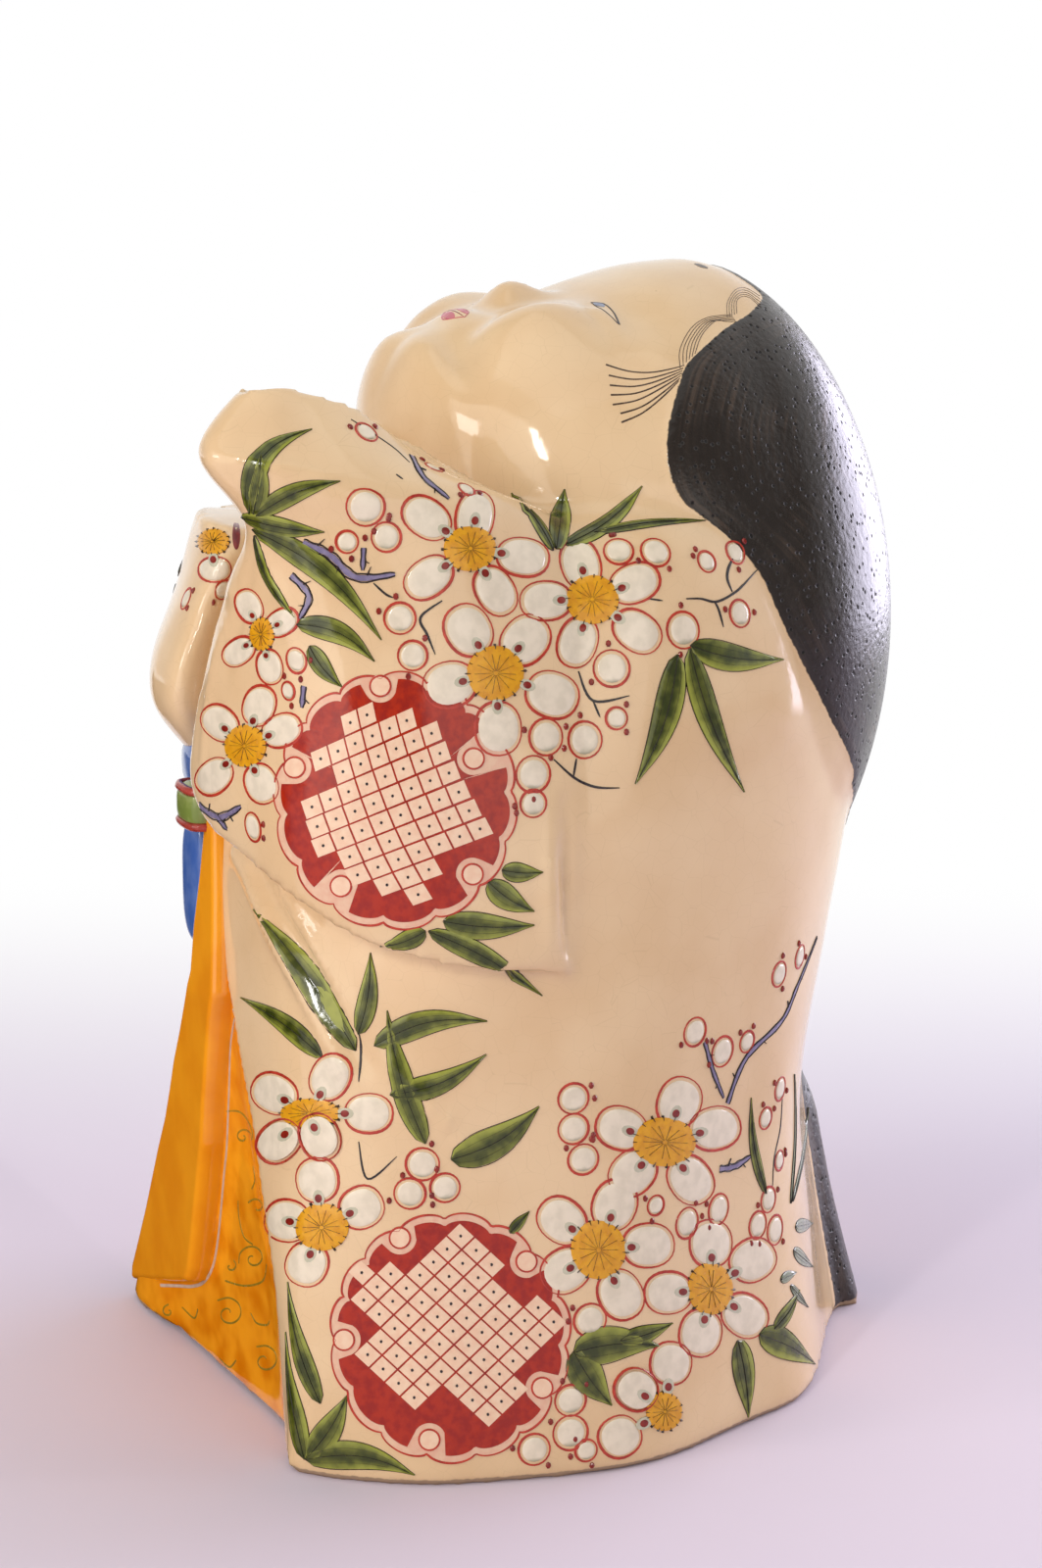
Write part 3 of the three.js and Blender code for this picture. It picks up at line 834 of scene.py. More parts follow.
    def relief(self, p: Array) -> Array:
        """Height of the fine relief: the hair's thick edge and the recess of the front opening."""
        hair = self.hair_proud * smooth_step(self.hair(p), -0.6, 0.8)
        recess = self.recess * smooth_step(self.opening(p), -0.3, 1.6)
        return hair - recess * smooth_step(p[:, 1], *RECESS_FADE)

    def zones(self, p: Array) -> dict[str, Array]:
        """Distances inside the painted zones, and the strand coordinate of the hair.

        The strand coordinate changes fast across the hair, by the distance inside it, slowly along it, by the
        angle round the skull and the height, and jumps from side to side.
        """
        hair = self.hair(p)
        along = self.round_skull(p) * 2.2 + p[:, 2] * 0.015
        return {
            "hair": hair,
            "orange": self.opening(p),
            "foot": 1.3 - p[:, 2],
            "strand": np.column_stack([hair * 1.1, along, np.sign(p[:, 0]) * 9]),
        }


class SkinProbe:
    """Measures the finished skin for whole arrays of points at once, by one Geometry Nodes tree."""

    KEPT = ("seen", "seen_facing", "met", "near", "near_facing")
    RAY_LENGTH = 3.0

    def __init__(self, skin: Piece) -> None:
        """Lay out the tree: a Raycast along each point's aim, and the nearest place on the skin."""
        if "facing" in skin.data.attributes:
            skin.data.attributes.remove(skin.data.attributes["facing"])
        store(skin.data, "facing", vectors(skin.data.vertex_normals, "vector"))
        tree = bpy.data.node_groups.new("skin_probe", "GeometryNodeTree")
        for direction in ("INPUT", "OUTPUT"):
            tree.interface.new_socket("Geometry", in_out=direction, socket_type="NodeSocketGeometry")
        sheet = NodeSheet(tree)
        target = sheet.node("GeometryNodeObjectInfo", {"Object": skin}).outputs["Geometry"]
        aim, facing = (
            sheet.node("GeometryNodeInputNamedAttribute", {"Name": name}, data_type="FLOAT_VECTOR")
            for name in ("aim", "facing")
        )
        facing = facing.outputs["Attribute"]
        inputs = {
            "Target Geometry": target, "Attribute": facing, "Ray Direction": aim.outputs["Attribute"],
            "Ray Length": self.RAY_LENGTH,
        }
        cast = sheet.node("GeometryNodeRaycast", inputs, data_type="FLOAT_VECTOR")
        found = [cast.outputs[name] for name in ("Hit Position", "Attribute", "Is Hit")]
        for value in (sheet.node("GeometryNodeInputPosition").outputs[0], facing):
            inputs = {"Mesh": target, "Value": value}
            near = sheet.node("GeometryNodeSampleNearestSurface", inputs, data_type="FLOAT_VECTOR")
            found.append(near.outputs["Value"])
        flow = sheet.node("NodeGroupInput").outputs[0]
        for name, value in zip(self.KEPT, found):
            inputs = {"Geometry": flow, "Name": name, "Value": value}
            flow = sheet.node("GeometryNodeStoreNamedAttribute", inputs, data_type="FLOAT_VECTOR").outputs[0]
        sheet.node("NodeGroupOutput", {0: flow})
        self.tree = tree

    def measure(self, points: Array, aims: Array | None = None) -> dict[str, Array]:
        """Measure the skin from points.

        Args:
            points: Places, (n, 3).
            aims: Directions to look in from them, or None where only the nearest place is wanted.

        Returns:
            Places and facings, (n, 3) each, under the names in KEPT.
        """
        shell = Shell(points, [np.zeros((0, 3), int)])
        obj = shell.object("probe")
        store(obj.data, "aim", np.zeros_like(points) if aims is None else aims)
        obj.modifiers.new("probe", "NODES").node_group = self.tree
        mesh = obj.evaluated_get(bpy.context.evaluated_depsgraph_get()).data
        values = {name: vectors(mesh.attributes[name].data, "vector") for name in self.KEPT}
        bpy.data.objects.remove(obj)
        for name in ("seen", "near"):
            values[name] = values[name] / MM - SHIFT
        return values


class Paint(Enum):
    """The enamels, each painted as one piece."""

    ROSE = Enamel("pale_rose", (0.73, 0.42, 0.29), (0.76, 0.50, 0.34))
    BRICK = Enamel("brick_red", (0.40, 0.020, 0.002), (0.29, 0.010, 0.002))
    CELL = Enamel("cream_cells", (0.84, 0.60, 0.42), (0.81, 0.53, 0.36))
    WHITE = ShadedEnamel(
        "white_petals", (0.80, 0.70, 0.55), (0.71, 0.62, 0.48), 0.11, 2.6, 0.02,
        (0.38, 0.35, 0.23), (0.35, 1.0),
    )
    OCHRE = Enamel("ochre_centres", (0.74, 0.35, 0.010), (0.64, 0.27, 0.007), 0.2, 1.4, 0.03)
    RED = Enamel("red_lines", (0.50, 0.045, 0.022), (0.36, 0.022, 0.012), 0.2)
    DOT = Enamel("dark_red_dots", (0.26, 0.018, 0.008), (0.17, 0.010, 0.007))
    HALO = Enamel("petal_feet", (0.56, 0.53, 0.40), (0.49, 0.46, 0.33))
    LEAF = ShadedEnamel(
        "bamboo_green", (0.034, 0.044, 0.005), (0.075, 0.085, 0.010), 0.10, 3.0, 0.02,
        (0.33, 0.35, 0.055), (0.18, 0.9),
    )
    MIST = ShadedEnamel(
        "misty_green", (0.22, 0.26, 0.17), (0.29, 0.32, 0.22), 0.10, 3.0, 0.02, (0.42, 0.44, 0.30), (0.2, 1.0)
    )
    BRANCH = Enamel("grey_purple", (0.25, 0.21, 0.33), (0.18, 0.15, 0.26))
    BLACK = Enamel("black_lines", (0.016, 0.011, 0.012), (0.03, 0.02, 0.02), 0.25)
    STRAND = Enamel("hair_strokes", (0.045, 0.025, 0.016), (0.09, 0.05, 0.03), 0.25)
    OLIVE = Enamel("olive_scrolls", (0.33, 0.22, 0.018), (0.26, 0.18, 0.015), 0.2)
    PALE = Enamel("pale_border", (0.60, 0.46, 0.37), (0.52, 0.38, 0.28), 0.2)
    LIP = Enamel("lip_red", (0.50, 0.07, 0.12), (0.58, 0.14, 0.17), 0.15)
    LID = Enamel("lid_blue", (0.24, 0.27, 0.38), (0.17, 0.19, 0.29), 0.15)
    LINING = Enamel("dark_lining", (0.22, 0.012, 0.010), (0.14, 0.008, 0.008), 0.15)


class Outlook(Enum):
    """Where a motif's places are read: in the photograph, or in mm from above the face."""

    PHOTOGRAPH = "photograph"
    ABOVE = "above"


# Sections across a stroke and profiles of a patch, from its edge in: pairs of place and height. SKIRT
# stands for the rim that is sunk in the glaze, in mm.
SKIRT = -0.3
STROKE_SECTION = ((1, SKIRT), (0.6, 0.8), (0, 1), (-0.6, 0.8), (-1, SKIRT))
HAIRLINE_SECTION = ((1, SKIRT), (0, 1), (-1, SKIRT))
LEAF_SECTION = (
    (1, SKIRT), (0.94, 0.5), (0.5, 1), (0.06, 0.7), (-0.06, 0.7), (-0.5, 1), (-0.94, 0.5), (-1, SKIRT),
)
PETAL_PROFILE = ((1, SKIRT), (1, 0.12), (0.94, 0.20), (0.75, 0.25), (0.35, 0.27))
DOT_PROFILE = ((1, SKIRT), (1, 0.2), (0.6, 0.42))
FIGURE_MIDDLE = np.array([0.0, 0.0, 110.0])
FULL_TURN = 6.28


def circle(count: int) -> Array:
    """Unit circle counter-clockwise, (count, 2)."""
    turn = 2 * np.pi * np.arange(count) / count
    return np.column_stack([np.cos(turn), np.sin(turn)])


def ribbon(line: Array, facing: Array, width: Array | float, height: float,
           section: Table, closed: bool = False) -> tuple[Shell, Array, Array]:
    """Carry a flat domed section along a line on a surface.

    Args:
        line, facing: Middle of the stroke, and surface directions there, (n, 3).
        width, height: Full width along it in mm, and height of the section where it says 1.
        section: Pairs of place across (-1 to 1) and height; a height under zero is the sunken skirt.
        closed: Whether the line's end joins its start.

    Returns:
        The shell on the line's own level, the height of each vertex, and its place across.
    """
    tangent = np.roll(line, -1, 0) - np.roll(line, 1, 0) if closed else np.gradient(line, axis=0)
    side = unit(np.cross(facing, tangent))
    half = np.broadcast_to(np.asarray(width, float) / 2, (len(line),))
    across, lift = np.array(section).T
    rings = line[:, None] + side[:, None] * half[:, None, None] * across[:, None]
    lift = np.where(lift < 0, lift, lift * height)
    heights, places = (np.broadcast_to(values, (len(line), len(across))).ravel() for values in (lift, across))
    if not closed:
        ends = [lift.min() / 2] * 2
        return Shell.loft(rings), np.concatenate([heights, ends]), np.concatenate([places, [0, 0]])
    n, m = len(line), len(across)
    k = np.arange(m)
    row = (np.arange(n) * m)[:, None]
    forward = (row + m) % (n * m)
    on = (k + 1) % m
    quads = np.stack([row + k, row + on, forward + on, forward + k], axis=-1).reshape(-1, 4)
    return Shell(rings.reshape(-1, 3), [quads]), heights, places


@dataclass
class Spot:
    """Where a motif's places lie on the skin.

    Args:
        at, facing: Places and surface directions, (n, 3).
        scale: Millimetres for one pixel at each place, or 1 for places in mm.
        mirrored: Whether this is the copy on her right.
    """

    at: Array
    facing: Array
    scale: Array
    mirrored: bool

    def axes(self, index: int, toward: Array) -> Pair:
        """Directions along and across in the surface, the first as near to toward as it can be."""
        normal = self.facing[index]
        along = unit(toward - normal * (toward @ normal))
        return along, np.cross(normal, along)


class Painter:
    """Gathers painted shells by enamel and lays them all on the skin."""

    SEED = 11
    LOWEST = 0.02
    SHARP = math.radians(38)

    def __init__(self, view: PhotographView, probe: SkinProbe) -> None:
        """Start with no paint."""
        self.view = view
        self.probe = probe
        self.gathered: dict[Paint, list[tuple[Shell, Array, Array]]] = {paint: [] for paint in Paint}
        self.random = np.random.default_rng(self.SEED)

    def add(self, paint: Paint, shell: Shell, heights: Array, shade: Array | None = None) -> None:
        """Keep a shell with its heights above the skin and its shade."""
        self.gathered[paint].append((shell, heights, np.zeros(len(heights)) if shade is None else shade))

    def patch(self, paint: Paint, centre: Array, axes: Pair, outline: Array, profile: Table,
              shade: bool = False) -> None:
        """Add a domed patch: its outline shrunk to each share of the profile, at the profile's height.

        Args:
            paint, centre: The enamel and its middle.
            axes: Directions of the outline's first and second number.
            outline: Closed outline in mm, (k, 2), counter-clockwise seen from outside.
            profile: Pairs of share of the outline and height.
            shade: Whether its base, at the outline's lowest first number, and its rim are shaded.
        """
        share, height = np.array(profile).T
        flat = share[:, None, None] * outline
        rings = centre + flat[..., :1] * axes[0] + flat[..., 1:] * axes[1]
        heights = np.concatenate([np.repeat(height, len(outline)), [SKIRT, height[-1]]])
        values = None
        if shade:
            low, high = outline[:, 0].min(), outline[:, 0].max()
            down = 1 - (flat[..., 0] - low) / (high - low)
            rim = np.broadcast_to(share[:, None], down.shape)
            values = np.concatenate([np.maximum(down**4, rim**9 * 0.42).ravel(), [0, 0]])
        self.add(paint, Shell.loft(rings), heights, values)

    def stroke(self, paint: Paint, line: Array, facing: Array, width: Array | float, height: float,
               section: Table = STROKE_SECTION, closed: bool = False) -> None:
        """Add a brush stroke along a line near the skin."""
        shell, heights, _ = ribbon(line, facing, width, height, section, closed)
        self.add(paint, shell, heights)

    def place(self, motifs: Sequence["Motif"], mirrored: bool) -> None:
        """Find the places of motifs on the skin, all in one measuring, and paint them.

        A point whose sight misses the figure goes to the nearest place on the skin, measured from where the
        sight passes the figure's middle.
        """
        sights = [motif.sight(self.view, mirrored) for motif in motifs]
        starts, aims = (np.concatenate([sight[i] for sight in sights]) for i in (0, 1))
        found = self.probe.measure(starts, aims)
        at, facing = found["seen"], found["seen_facing"]
        lost = np.flatnonzero(found["met"][:, 0] < 0.5)
        if len(lost):
            reach = np.sum((FIGURE_MIDDLE - starts[lost]) * aims[lost], axis=1, keepdims=True)
            beside = starts[lost] + aims[lost] * reach
            spare = self.probe.measure(beside)
            at[lost], facing[lost] = spare["near"], spare["near_facing"]
        scale = np.linalg.norm(at - starts, axis=1) / self.view.reach()
        first = 0
        for motif, sight in zip(motifs, sights):
            part = slice(first, first + len(sight[0]))
            size = scale[part] if motif.outlook is Outlook.PHOTOGRAPH else np.ones(len(sight[0]))
            motif.paint(self, Spot(at[part], unit(facing[part]), size, mirrored))
            first = part.stop

    def lay(self) -> list[Piece]:
        """Lay every gathered shell on the skin and make one piece for each enamel."""
        used = {paint: parts for paint, parts in self.gathered.items() if parts}
        whole = {paint: Shell.joined(part[0] for part in parts) for paint, parts in used.items()}
        found = self.probe.measure(np.concatenate([shell.points for shell in whole.values()]))
        heights = np.concatenate([part[1] for parts in used.values() for part in parts])
        places = found["near"] + unit(found["near_facing"]) * heights[:, None]
        places[:, 2] = np.maximum(places[:, 2], self.LOWEST)
        pieces, first = [], 0
        for paint, shell in whole.items():
            last = first + len(shell.points)
            piece = Shell(places[first:last], shell.faces).object(paint.value.name)
            store(piece.data, "shade", np.concatenate([part[2] for part in used[paint]]))
            piece.data.set_sharp_from_angle(angle=self.SHARP)
            piece.data.materials.append(paint.value.material())
            pieces.append(piece)
            first = last
        return pieces


@dataclass(frozen=True)
class Motif:
    """Something painted, placed by points."""

    outlook = Outlook.PHOTOGRAPH

    def places(self) -> Array:
        """The points that place it, (n, 2)."""
        raise NotImplementedError

    def sight(self, view: PhotographView, mirrored: bool) -> Pair:
        """Starting places and directions that find its points on the skin."""
        points = self.places()
        if self.outlook is Outlook.PHOTOGRAPH:
            return view.rays(points, mirrored)
        side = -1 if mirrored else 1
        starts = np.column_stack([points[:, 0] * side, points[:, 1], np.full(len(points), 300.0)])
        return starts, np.broadcast_to((0.0, 0.0, -1.0), starts.shape)

    def paint(self, painter: Painter, spot: Spot) -> None:
        """Paint it where its points lie."""
        raise NotImplementedError


@dataclass(frozen=True)
class Stroke(Motif):
    """A brush stroke through points.

    Args:
        enamel: Its paint.
        through, outlook: Points it runs through, and where they are read.
        width, tips: Width in mm, and the shares of it at the two ends.
        height: Height in mm.
    """

    enamel: Paint
    through: Path
    width: float = 0.5
    tips: Span = (0.5, 0.3)
    height: float = 0.14
    outlook: Outlook = Outlook.PHOTOGRAPH

    def places(self) -> Array:
        """The points it runs through."""
        return np.array(self.through, float)

    def line(self, spot: Spot) -> tuple[Array, Array, Array]:
        """A smooth line through its places, the surface's directions there and the width."""
        line, facing = (spline(values, 7, False) for values in (spot.at, spot.facing))
        share = np.linspace(0, 1, len(line))
        width = self.width * np.interp(share, (0, 0.3, 0.7, 1), (self.tips[0], 1, 1, self.tips[1]))
        return line, unit(facing), width

    def paint(self, painter: Painter, spot: Spot) -> None:
        """Paint the one stroke."""
        line, facing, width = self.line(spot)
        painter.stroke(self.enamel, line, facing, width, self.height)


@dataclass(frozen=True)
class Branch(Stroke):
    """A grey-purple branch with dark edges and thorns."""

    enamel: Paint = Paint.BRANCH
    through: Path = ()
    width: float = 1.6
    tips: Span = (0.9, 0.4)
    height: float = 0.16

    RIPPLE = (0.16, 1.7)
    THORN_EVERY = 6
    THORN_WIDTHS = np.array([0.8, 0.7, 0.5, 0.2])

    def paint(self, painter: Painter, spot: Spot) -> None:
        """Paint the branch, its two edges, and the thorns to one side and the other by turns."""
        line, facing, width = self.line(spot)
        swell, pace = self.RIPPLE
        width = width * (1 + swell * np.sin(np.arange(len(line)) * pace))
        painter.stroke(self.enamel, line, facing, width, self.height)
        forward = np.gradient(line, axis=0)
        side = unit(np.cross(facing, forward)) * (width / 2)[:, None]
        for turn in (-1, 1):
            painter.stroke(Paint.BLACK, line + side * turn, facing, 0.75, 0.24, HAIRLINE_SECTION)
        for turn, i in zip((1, -1, 1, -1), range(4, len(line) - 2, self.THORN_EVERY)):
            out = side[i] * turn * 2.1 + unit(forward[i]) * 0.5 * self.width
            thorn = line[i] + side[i] * turn * 0.6 + out * np.linspace(0, 1, 4)[:, None]
            ways = np.repeat(facing[[i]], 4, 0)
            painter.stroke(Paint.BLACK, thorn, ways, self.THORN_WIDTHS, 0.28, HAIRLINE_SECTION)


@dataclass(frozen=True)
class Leaf(Motif):
    """A bamboo leaf from its stem to its tip.

    Args:
        stem, tip: Where it starts and ends.
        width, bow: Greatest width in pixels, and sideways bend as a share of its length.
        enamel: Its green.
    """

    stem: Pixel
    tip: Pixel
    width: float = 22.0
    bow: float = 0.05
    enamel: Paint = Paint.LEAF

    # Edges, midrib and a vein in each half: place across, how far along it runs, and width.
    VEINS = ((-1, 1, 0.34), (1, 1, 0.38), (0, 0.95, 0.46), (-0.5, 0.75, 0.38), (0.5, 0.75, 0.34))

    def places(self) -> Array:
        """Nine points along it, on its bend."""
        start, end = np.array(self.stem, float), np.array(self.tip, float)
        share = np.linspace(0, 1, 9)[:, None]
        sideways = np.array([-(end - start)[1], (end - start)[0]])
        return start + (end - start) * share + sideways * self.bow * np.sin(np.pi * share)

    def paint(self, painter: Painter, spot: Spot) -> None:
        """Paint the blade, then its edges, its midrib and a vein in each half.

        The width grows as share^0.6 from the stem and falls as (1 - share)^1.15 to the tip.
        """
        line = spline(spot.at, 2, False)
        facing = unit(spline(spot.facing, 2, False))
        share = np.linspace(0, 1, len(line))
        wide = share**0.6 * (1 - share) ** 1.15
        width = self.width * 0.94 * spot.scale.mean() * np.maximum(wide / wide.max(), 0.03)
        shell, heights, across = ribbon(line, facing, width, 0.30, LEAF_SECTION)
        lighter = painter.random.uniform(-0.25, 0.25)
        along = np.concatenate([np.repeat(share, len(LEAF_SECTION)), [0, 1]])
        painter.add(self.enamel, shell, heights, 0.62 * np.abs(across) + lighter * across + 0.25 * along)
        side = unit(np.cross(facing, np.gradient(line, axis=0))) * (width / 2)[:, None]
        for place, span, thick in self.VEINS:
            kept = share <= span
            vein = line + side * place
            height = 0.2 if abs(place) == 1 else 0.36
            painter.stroke(Paint.BLACK, vein[kept], facing[kept], thick, height, HAIRLINE_SECTION)


@dataclass(frozen=True)
class Bud(Motif):
    """A round bud: a red ring with white enamel in it, and dark specks beside it.

    Args:
        centre, radius: Its middle and its radius in pixels.
        specks: How many dark specks stand round it.
    """

    centre: Pixel
    radius: float
    specks: int = 2

    def places(self) -> Array:
        """Its middle."""
        return np.array([self.centre], float)

    def paint(self, painter: Painter, spot: Spot) -> None:
        """Paint the disc, the ring and the specks."""
        centre, radius = spot.at[0], self.radius * spot.scale[0]
        axes = spot.axes(0, np.array([0.1, 0.0, 1.0]))
        painter.patch(Paint.WHITE, centre, axes, circle(18) * radius * 0.74, PETAL_PROFILE, shade=True)
        swell = 1 + 0.28 * np.sin(2 * np.pi * np.arange(22) / 22 + painter.random.uniform(0, FULL_TURN))
        around = circle(22) * radius * 0.95
        ring = centre + around[:, :1] * axes[0] + around[:, 1:] * axes[1]
        facing = np.broadcast_to(np.cross(*axes), ring.shape)
        painter.stroke(Paint.RED, ring, facing, 0.60 * swell, 0.16, closed=True)
        for turn in painter.random.uniform(0, FULL_TURN, self.specks):
            speck = centre + (radius + 1.0) * (math.cos(turn) * axes[0] + math.sin(turn) * axes[1])
            painter.patch(Paint.DOT, speck, axes, circle(7) * (0.66, 0.52), DOT_PROFILE)


@dataclass(frozen=True)
class Plate:
    """A patch whose every vertex is placed by a point.

    Args:
        enamel: Its paint.
        rings: Points from its edge inwards, (rings, around, 2), counter-clockwise as seen.
        heights, shade: Height of each ring in mm, and shade of each vertex, (rings, around), or None.
    """

    enamel: Paint
    rings: Array
    heights: Row
    shade: Array | None = None


@dataclass(frozen=True)
class Line:
    """A closed brush line or a short open dash, placed by points.

    Args:
        enamel: Its paint.
        points: Points along it, (n, 2).
        width, height: Width in mm, for all or for each point, and height in mm.
        closed: Whether it closes on itself.
    """

    enamel: Paint
    points: Array
    width: Array | float
    height: float
    closed: bool = True


@dataclass(frozen=True)
class Plates(Motif):
    """A motif made of plates and lines."""

    # How far its points may lie from its middle, in its own half sizes.
    REACH = 2.2

    def plates(self) -> list[Plate]:
        """Its plates, from the lowest up."""
        raise NotImplementedError

    def lines(self) -> list[Line]:
        """Its lines."""
        return []

    def places(self) -> Array:
        """Every point of the plates and the lines."""
        edges = [plate.rings.reshape(-1, 2) for plate in self.plates()]
        return np.concatenate([*edges, *(line.points for line in self.lines())])

    def paint(self, painter: Painter, spot: Spot) -> None:
        """Paint the plates and the lines, with points that found another part of the figure drawn in."""
        pixels = self.places()
        middle = np.median(spot.at, axis=0)
        reach = self.REACH * spot.scale.mean() * np.linalg.norm(pixels - pixels.mean(axis=0), axis=1).max()
        away = spot.at - middle
        spot.at[:] = middle + away * np.minimum(1, reach / (1e-6 + np.linalg.norm(away, axis=1)))[:, None]
        first = 0
        for plate in self.plates():
            count = plate.rings.shape[0] * plate.rings.shape[1]
            rings = spot.at[first:first + count].reshape(*plate.rings.shape[:2], 3)
            shade = np.zeros(rings.shape[:2]) if plate.shade is None else plate.shade
            if spot.mirrored:
                rings, shade = rings[:, ::-1], shade[:, ::-1]
            rings, shade = (np.concatenate([values[:1], values]) for values in (rings, shade))
            heights = np.repeat((SKIRT, *plate.heights), rings.shape[1])
            ends = [SKIRT, plate.heights[-1]]
            shade = np.concatenate([shade.ravel(), [0, shade[-1].mean()]])
            painter.add(plate.enamel, Shell.loft(rings), np.concatenate([heights, ends]), shade)
            first += count
        for line in self.lines():
            part = slice(first, first + len(line.points))
            section = STROKE_SECTION if line.closed else HAIRLINE_SECTION
            place = (spot.at[part], spot.facing[part], line.width, line.height)
            painter.stroke(line.enamel, *place, section, line.closed)
            first = part.stop


@dataclass(frozen=True)
class Blossom(Plates):
    """A plum blossom: petals with red outlines round an ochre middle.

    Args:
        centre: Middle of the blossom.
        petals: Middle of each petal, the hindmost first.
        petal: Half length and half width of a petal.
        disc: Half width and half height of the ochre middle.
        front: How many of the last petals lie over the middle.
    """

    centre: Pixel
    petals: Path
    petal: Pixel = (27, 21.5)
    disc: Pixel = (27, 26)
    front: int = 0

    # Rings of a petal and of the middle from the edge in: share of the outline and height.
    PETAL = ((0.84, 0.13), (0.79, 0.22), (0.62, 0.27), (0.3, 0.29))
    MIDDLE = ((1, 0.26), (0.92, 0.37), (0.5, 0.42))
    # The halo and the drop in it, at each petal's foot: paint, half length and half width, height.
    DROPS = ((Paint.HALO, (9.0, 5.8), 0.30), (Paint.DOT, (4.4, 3.7), 0.36))
    # The middle's rays and its rim's dashes: how many, from and to in shares of it, width, height.
    RAYS = ((14, 0.08, 0.74, 0.42, 0.52), (16, 0.88, 1.1, 0.85, 0.50))
    OVER = 0.34
    OUTLINE_WIDTH = 0.58

    def ovals(self) -> list[tuple[Array, Array, Array, float]]:
        """Middle, direction from the blossom's middle, outline and lift of each petal."""
        found = []
        turn = circle(26)
        oval = squared(turn, 2.2) * self.petal * (1 + 0.09 * turn[:, :1])
        for index, petal in enumerate(self.petals):
            middle = np.array(petal, float)
            way = unit(middle - self.centre)
            outline = oval[:, :1] * way + oval[:, 1:] * (way[1], -way[0])
            lift = self.OVER if index >= len(self.petals) - self.front else 0.0
            found.append((middle, way, outline, lift))
        return found

    def plates(self) -> list[Plate]:
        """The petals, the drops at their feet and the ochre middle."""
        plates = []
        centre = np.array(self.centre)
        share, height = np.array(self.PETAL).T
        for middle, way, outline, lift in self.ovals():
            inner = share[:, None, None] * outline
            foot = np.clip(-(inner @ way) / self.petal[0], 0, 1)
            rim = np.broadcast_to(share[:, None] / share[0], foot.shape)
            shade = np.maximum(0.9 * foot**4, 0.35 * rim**10)
            plates.append(Plate(Paint.WHITE, middle + inner, tuple(lift + height), shade))
            covered = 1 / math.hypot(way[0] / self.disc[0], way[1] / self.disc[1])
            at = middle - way * self.petal[0] * 0.35 if lift else centre + way * (covered + 5.5)
            for enamel, size, level in self.DROPS:
                drop = circle(11) * size * min(1.0, self.petal[1] / 20)
                drop = drop[:, :1] * way + drop[:, 1:] * (way[1], -way[0])
                rings = at + np.array([1, 0.6])[:, None, None] * drop
                plates.append(Plate(enamel, rings, (lift + level, lift + level + 0.03)))
        share, height = np.array(self.MIDDLE).T
        disc = share[:, None, None] * circle(28) * self.disc * (1, -1)
        plates.append(Plate(Paint.OCHRE, centre + disc, tuple(height)))
        return plates

    def lines(self) -> list[Line]:
        """The red outlines, and the black rays and rim dashes of the middle."""
        random = np.random.default_rng(int(self.centre[0] * 7 + self.centre[1]))
        lines = []
        for middle, _, outline, lift in self.ovals():
            swell = 1 + 0.45 * np.sin(2 * np.pi * np.arange(26) / 26 + random.uniform(0, FULL_TURN))
            width = self.OUTLINE_WIDTH * swell
            lines.append(Line(Paint.RED, middle + outline * 0.985, width, 0.17 + lift * 0.9))
        for count, inner, outer, width, height in self.RAYS:
            turns = 2 * np.pi * (np.arange(count) + random.uniform(-0.22, 0.22, count)) / count
            for turn in turns:
                way = np.array([math.cos(turn), -math.sin(turn)]) * self.disc
                reach = np.linspace(inner, outer * random.uniform(0.9, 1.02), 3)[:, None]
                lines.append(Line(Paint.BLACK, np.array(self.centre) + reach * way, width, height, False))
        return lines


@dataclass(frozen=True)
class Daub(Plates):
    """One oval dab of paint.

    Args:
        enamel: Its paint.
        centre, radii: Its middle, and its half width and half height.
        turn, height: Degrees it is turned by, and height in mm.
        outlook: Where its middle is read.
    """

    enamel: Paint
    centre: Pixel
    radii: Pixel
    turn: float = 0.0
    height: float = 0.12
    outlook: Outlook = Outlook.PHOTOGRAPH

    def plates(self) -> list[Plate]:
        """The one oval, in four rings."""
        down = -1 if self.outlook is Outlook.PHOTOGRAPH else 1
        a = math.radians(self.turn)
        oval = circle(20) * self.radii @ np.array([[math.cos(a), math.sin(a)], [-math.sin(a), math.cos(a)]])
        share = np.array([1, 0.93, 0.6, 0.3])[:, None, None]
        return [Plate(self.enamel, np.array(self.centre) + share * oval * (1, down), (self.height,) * 4)]


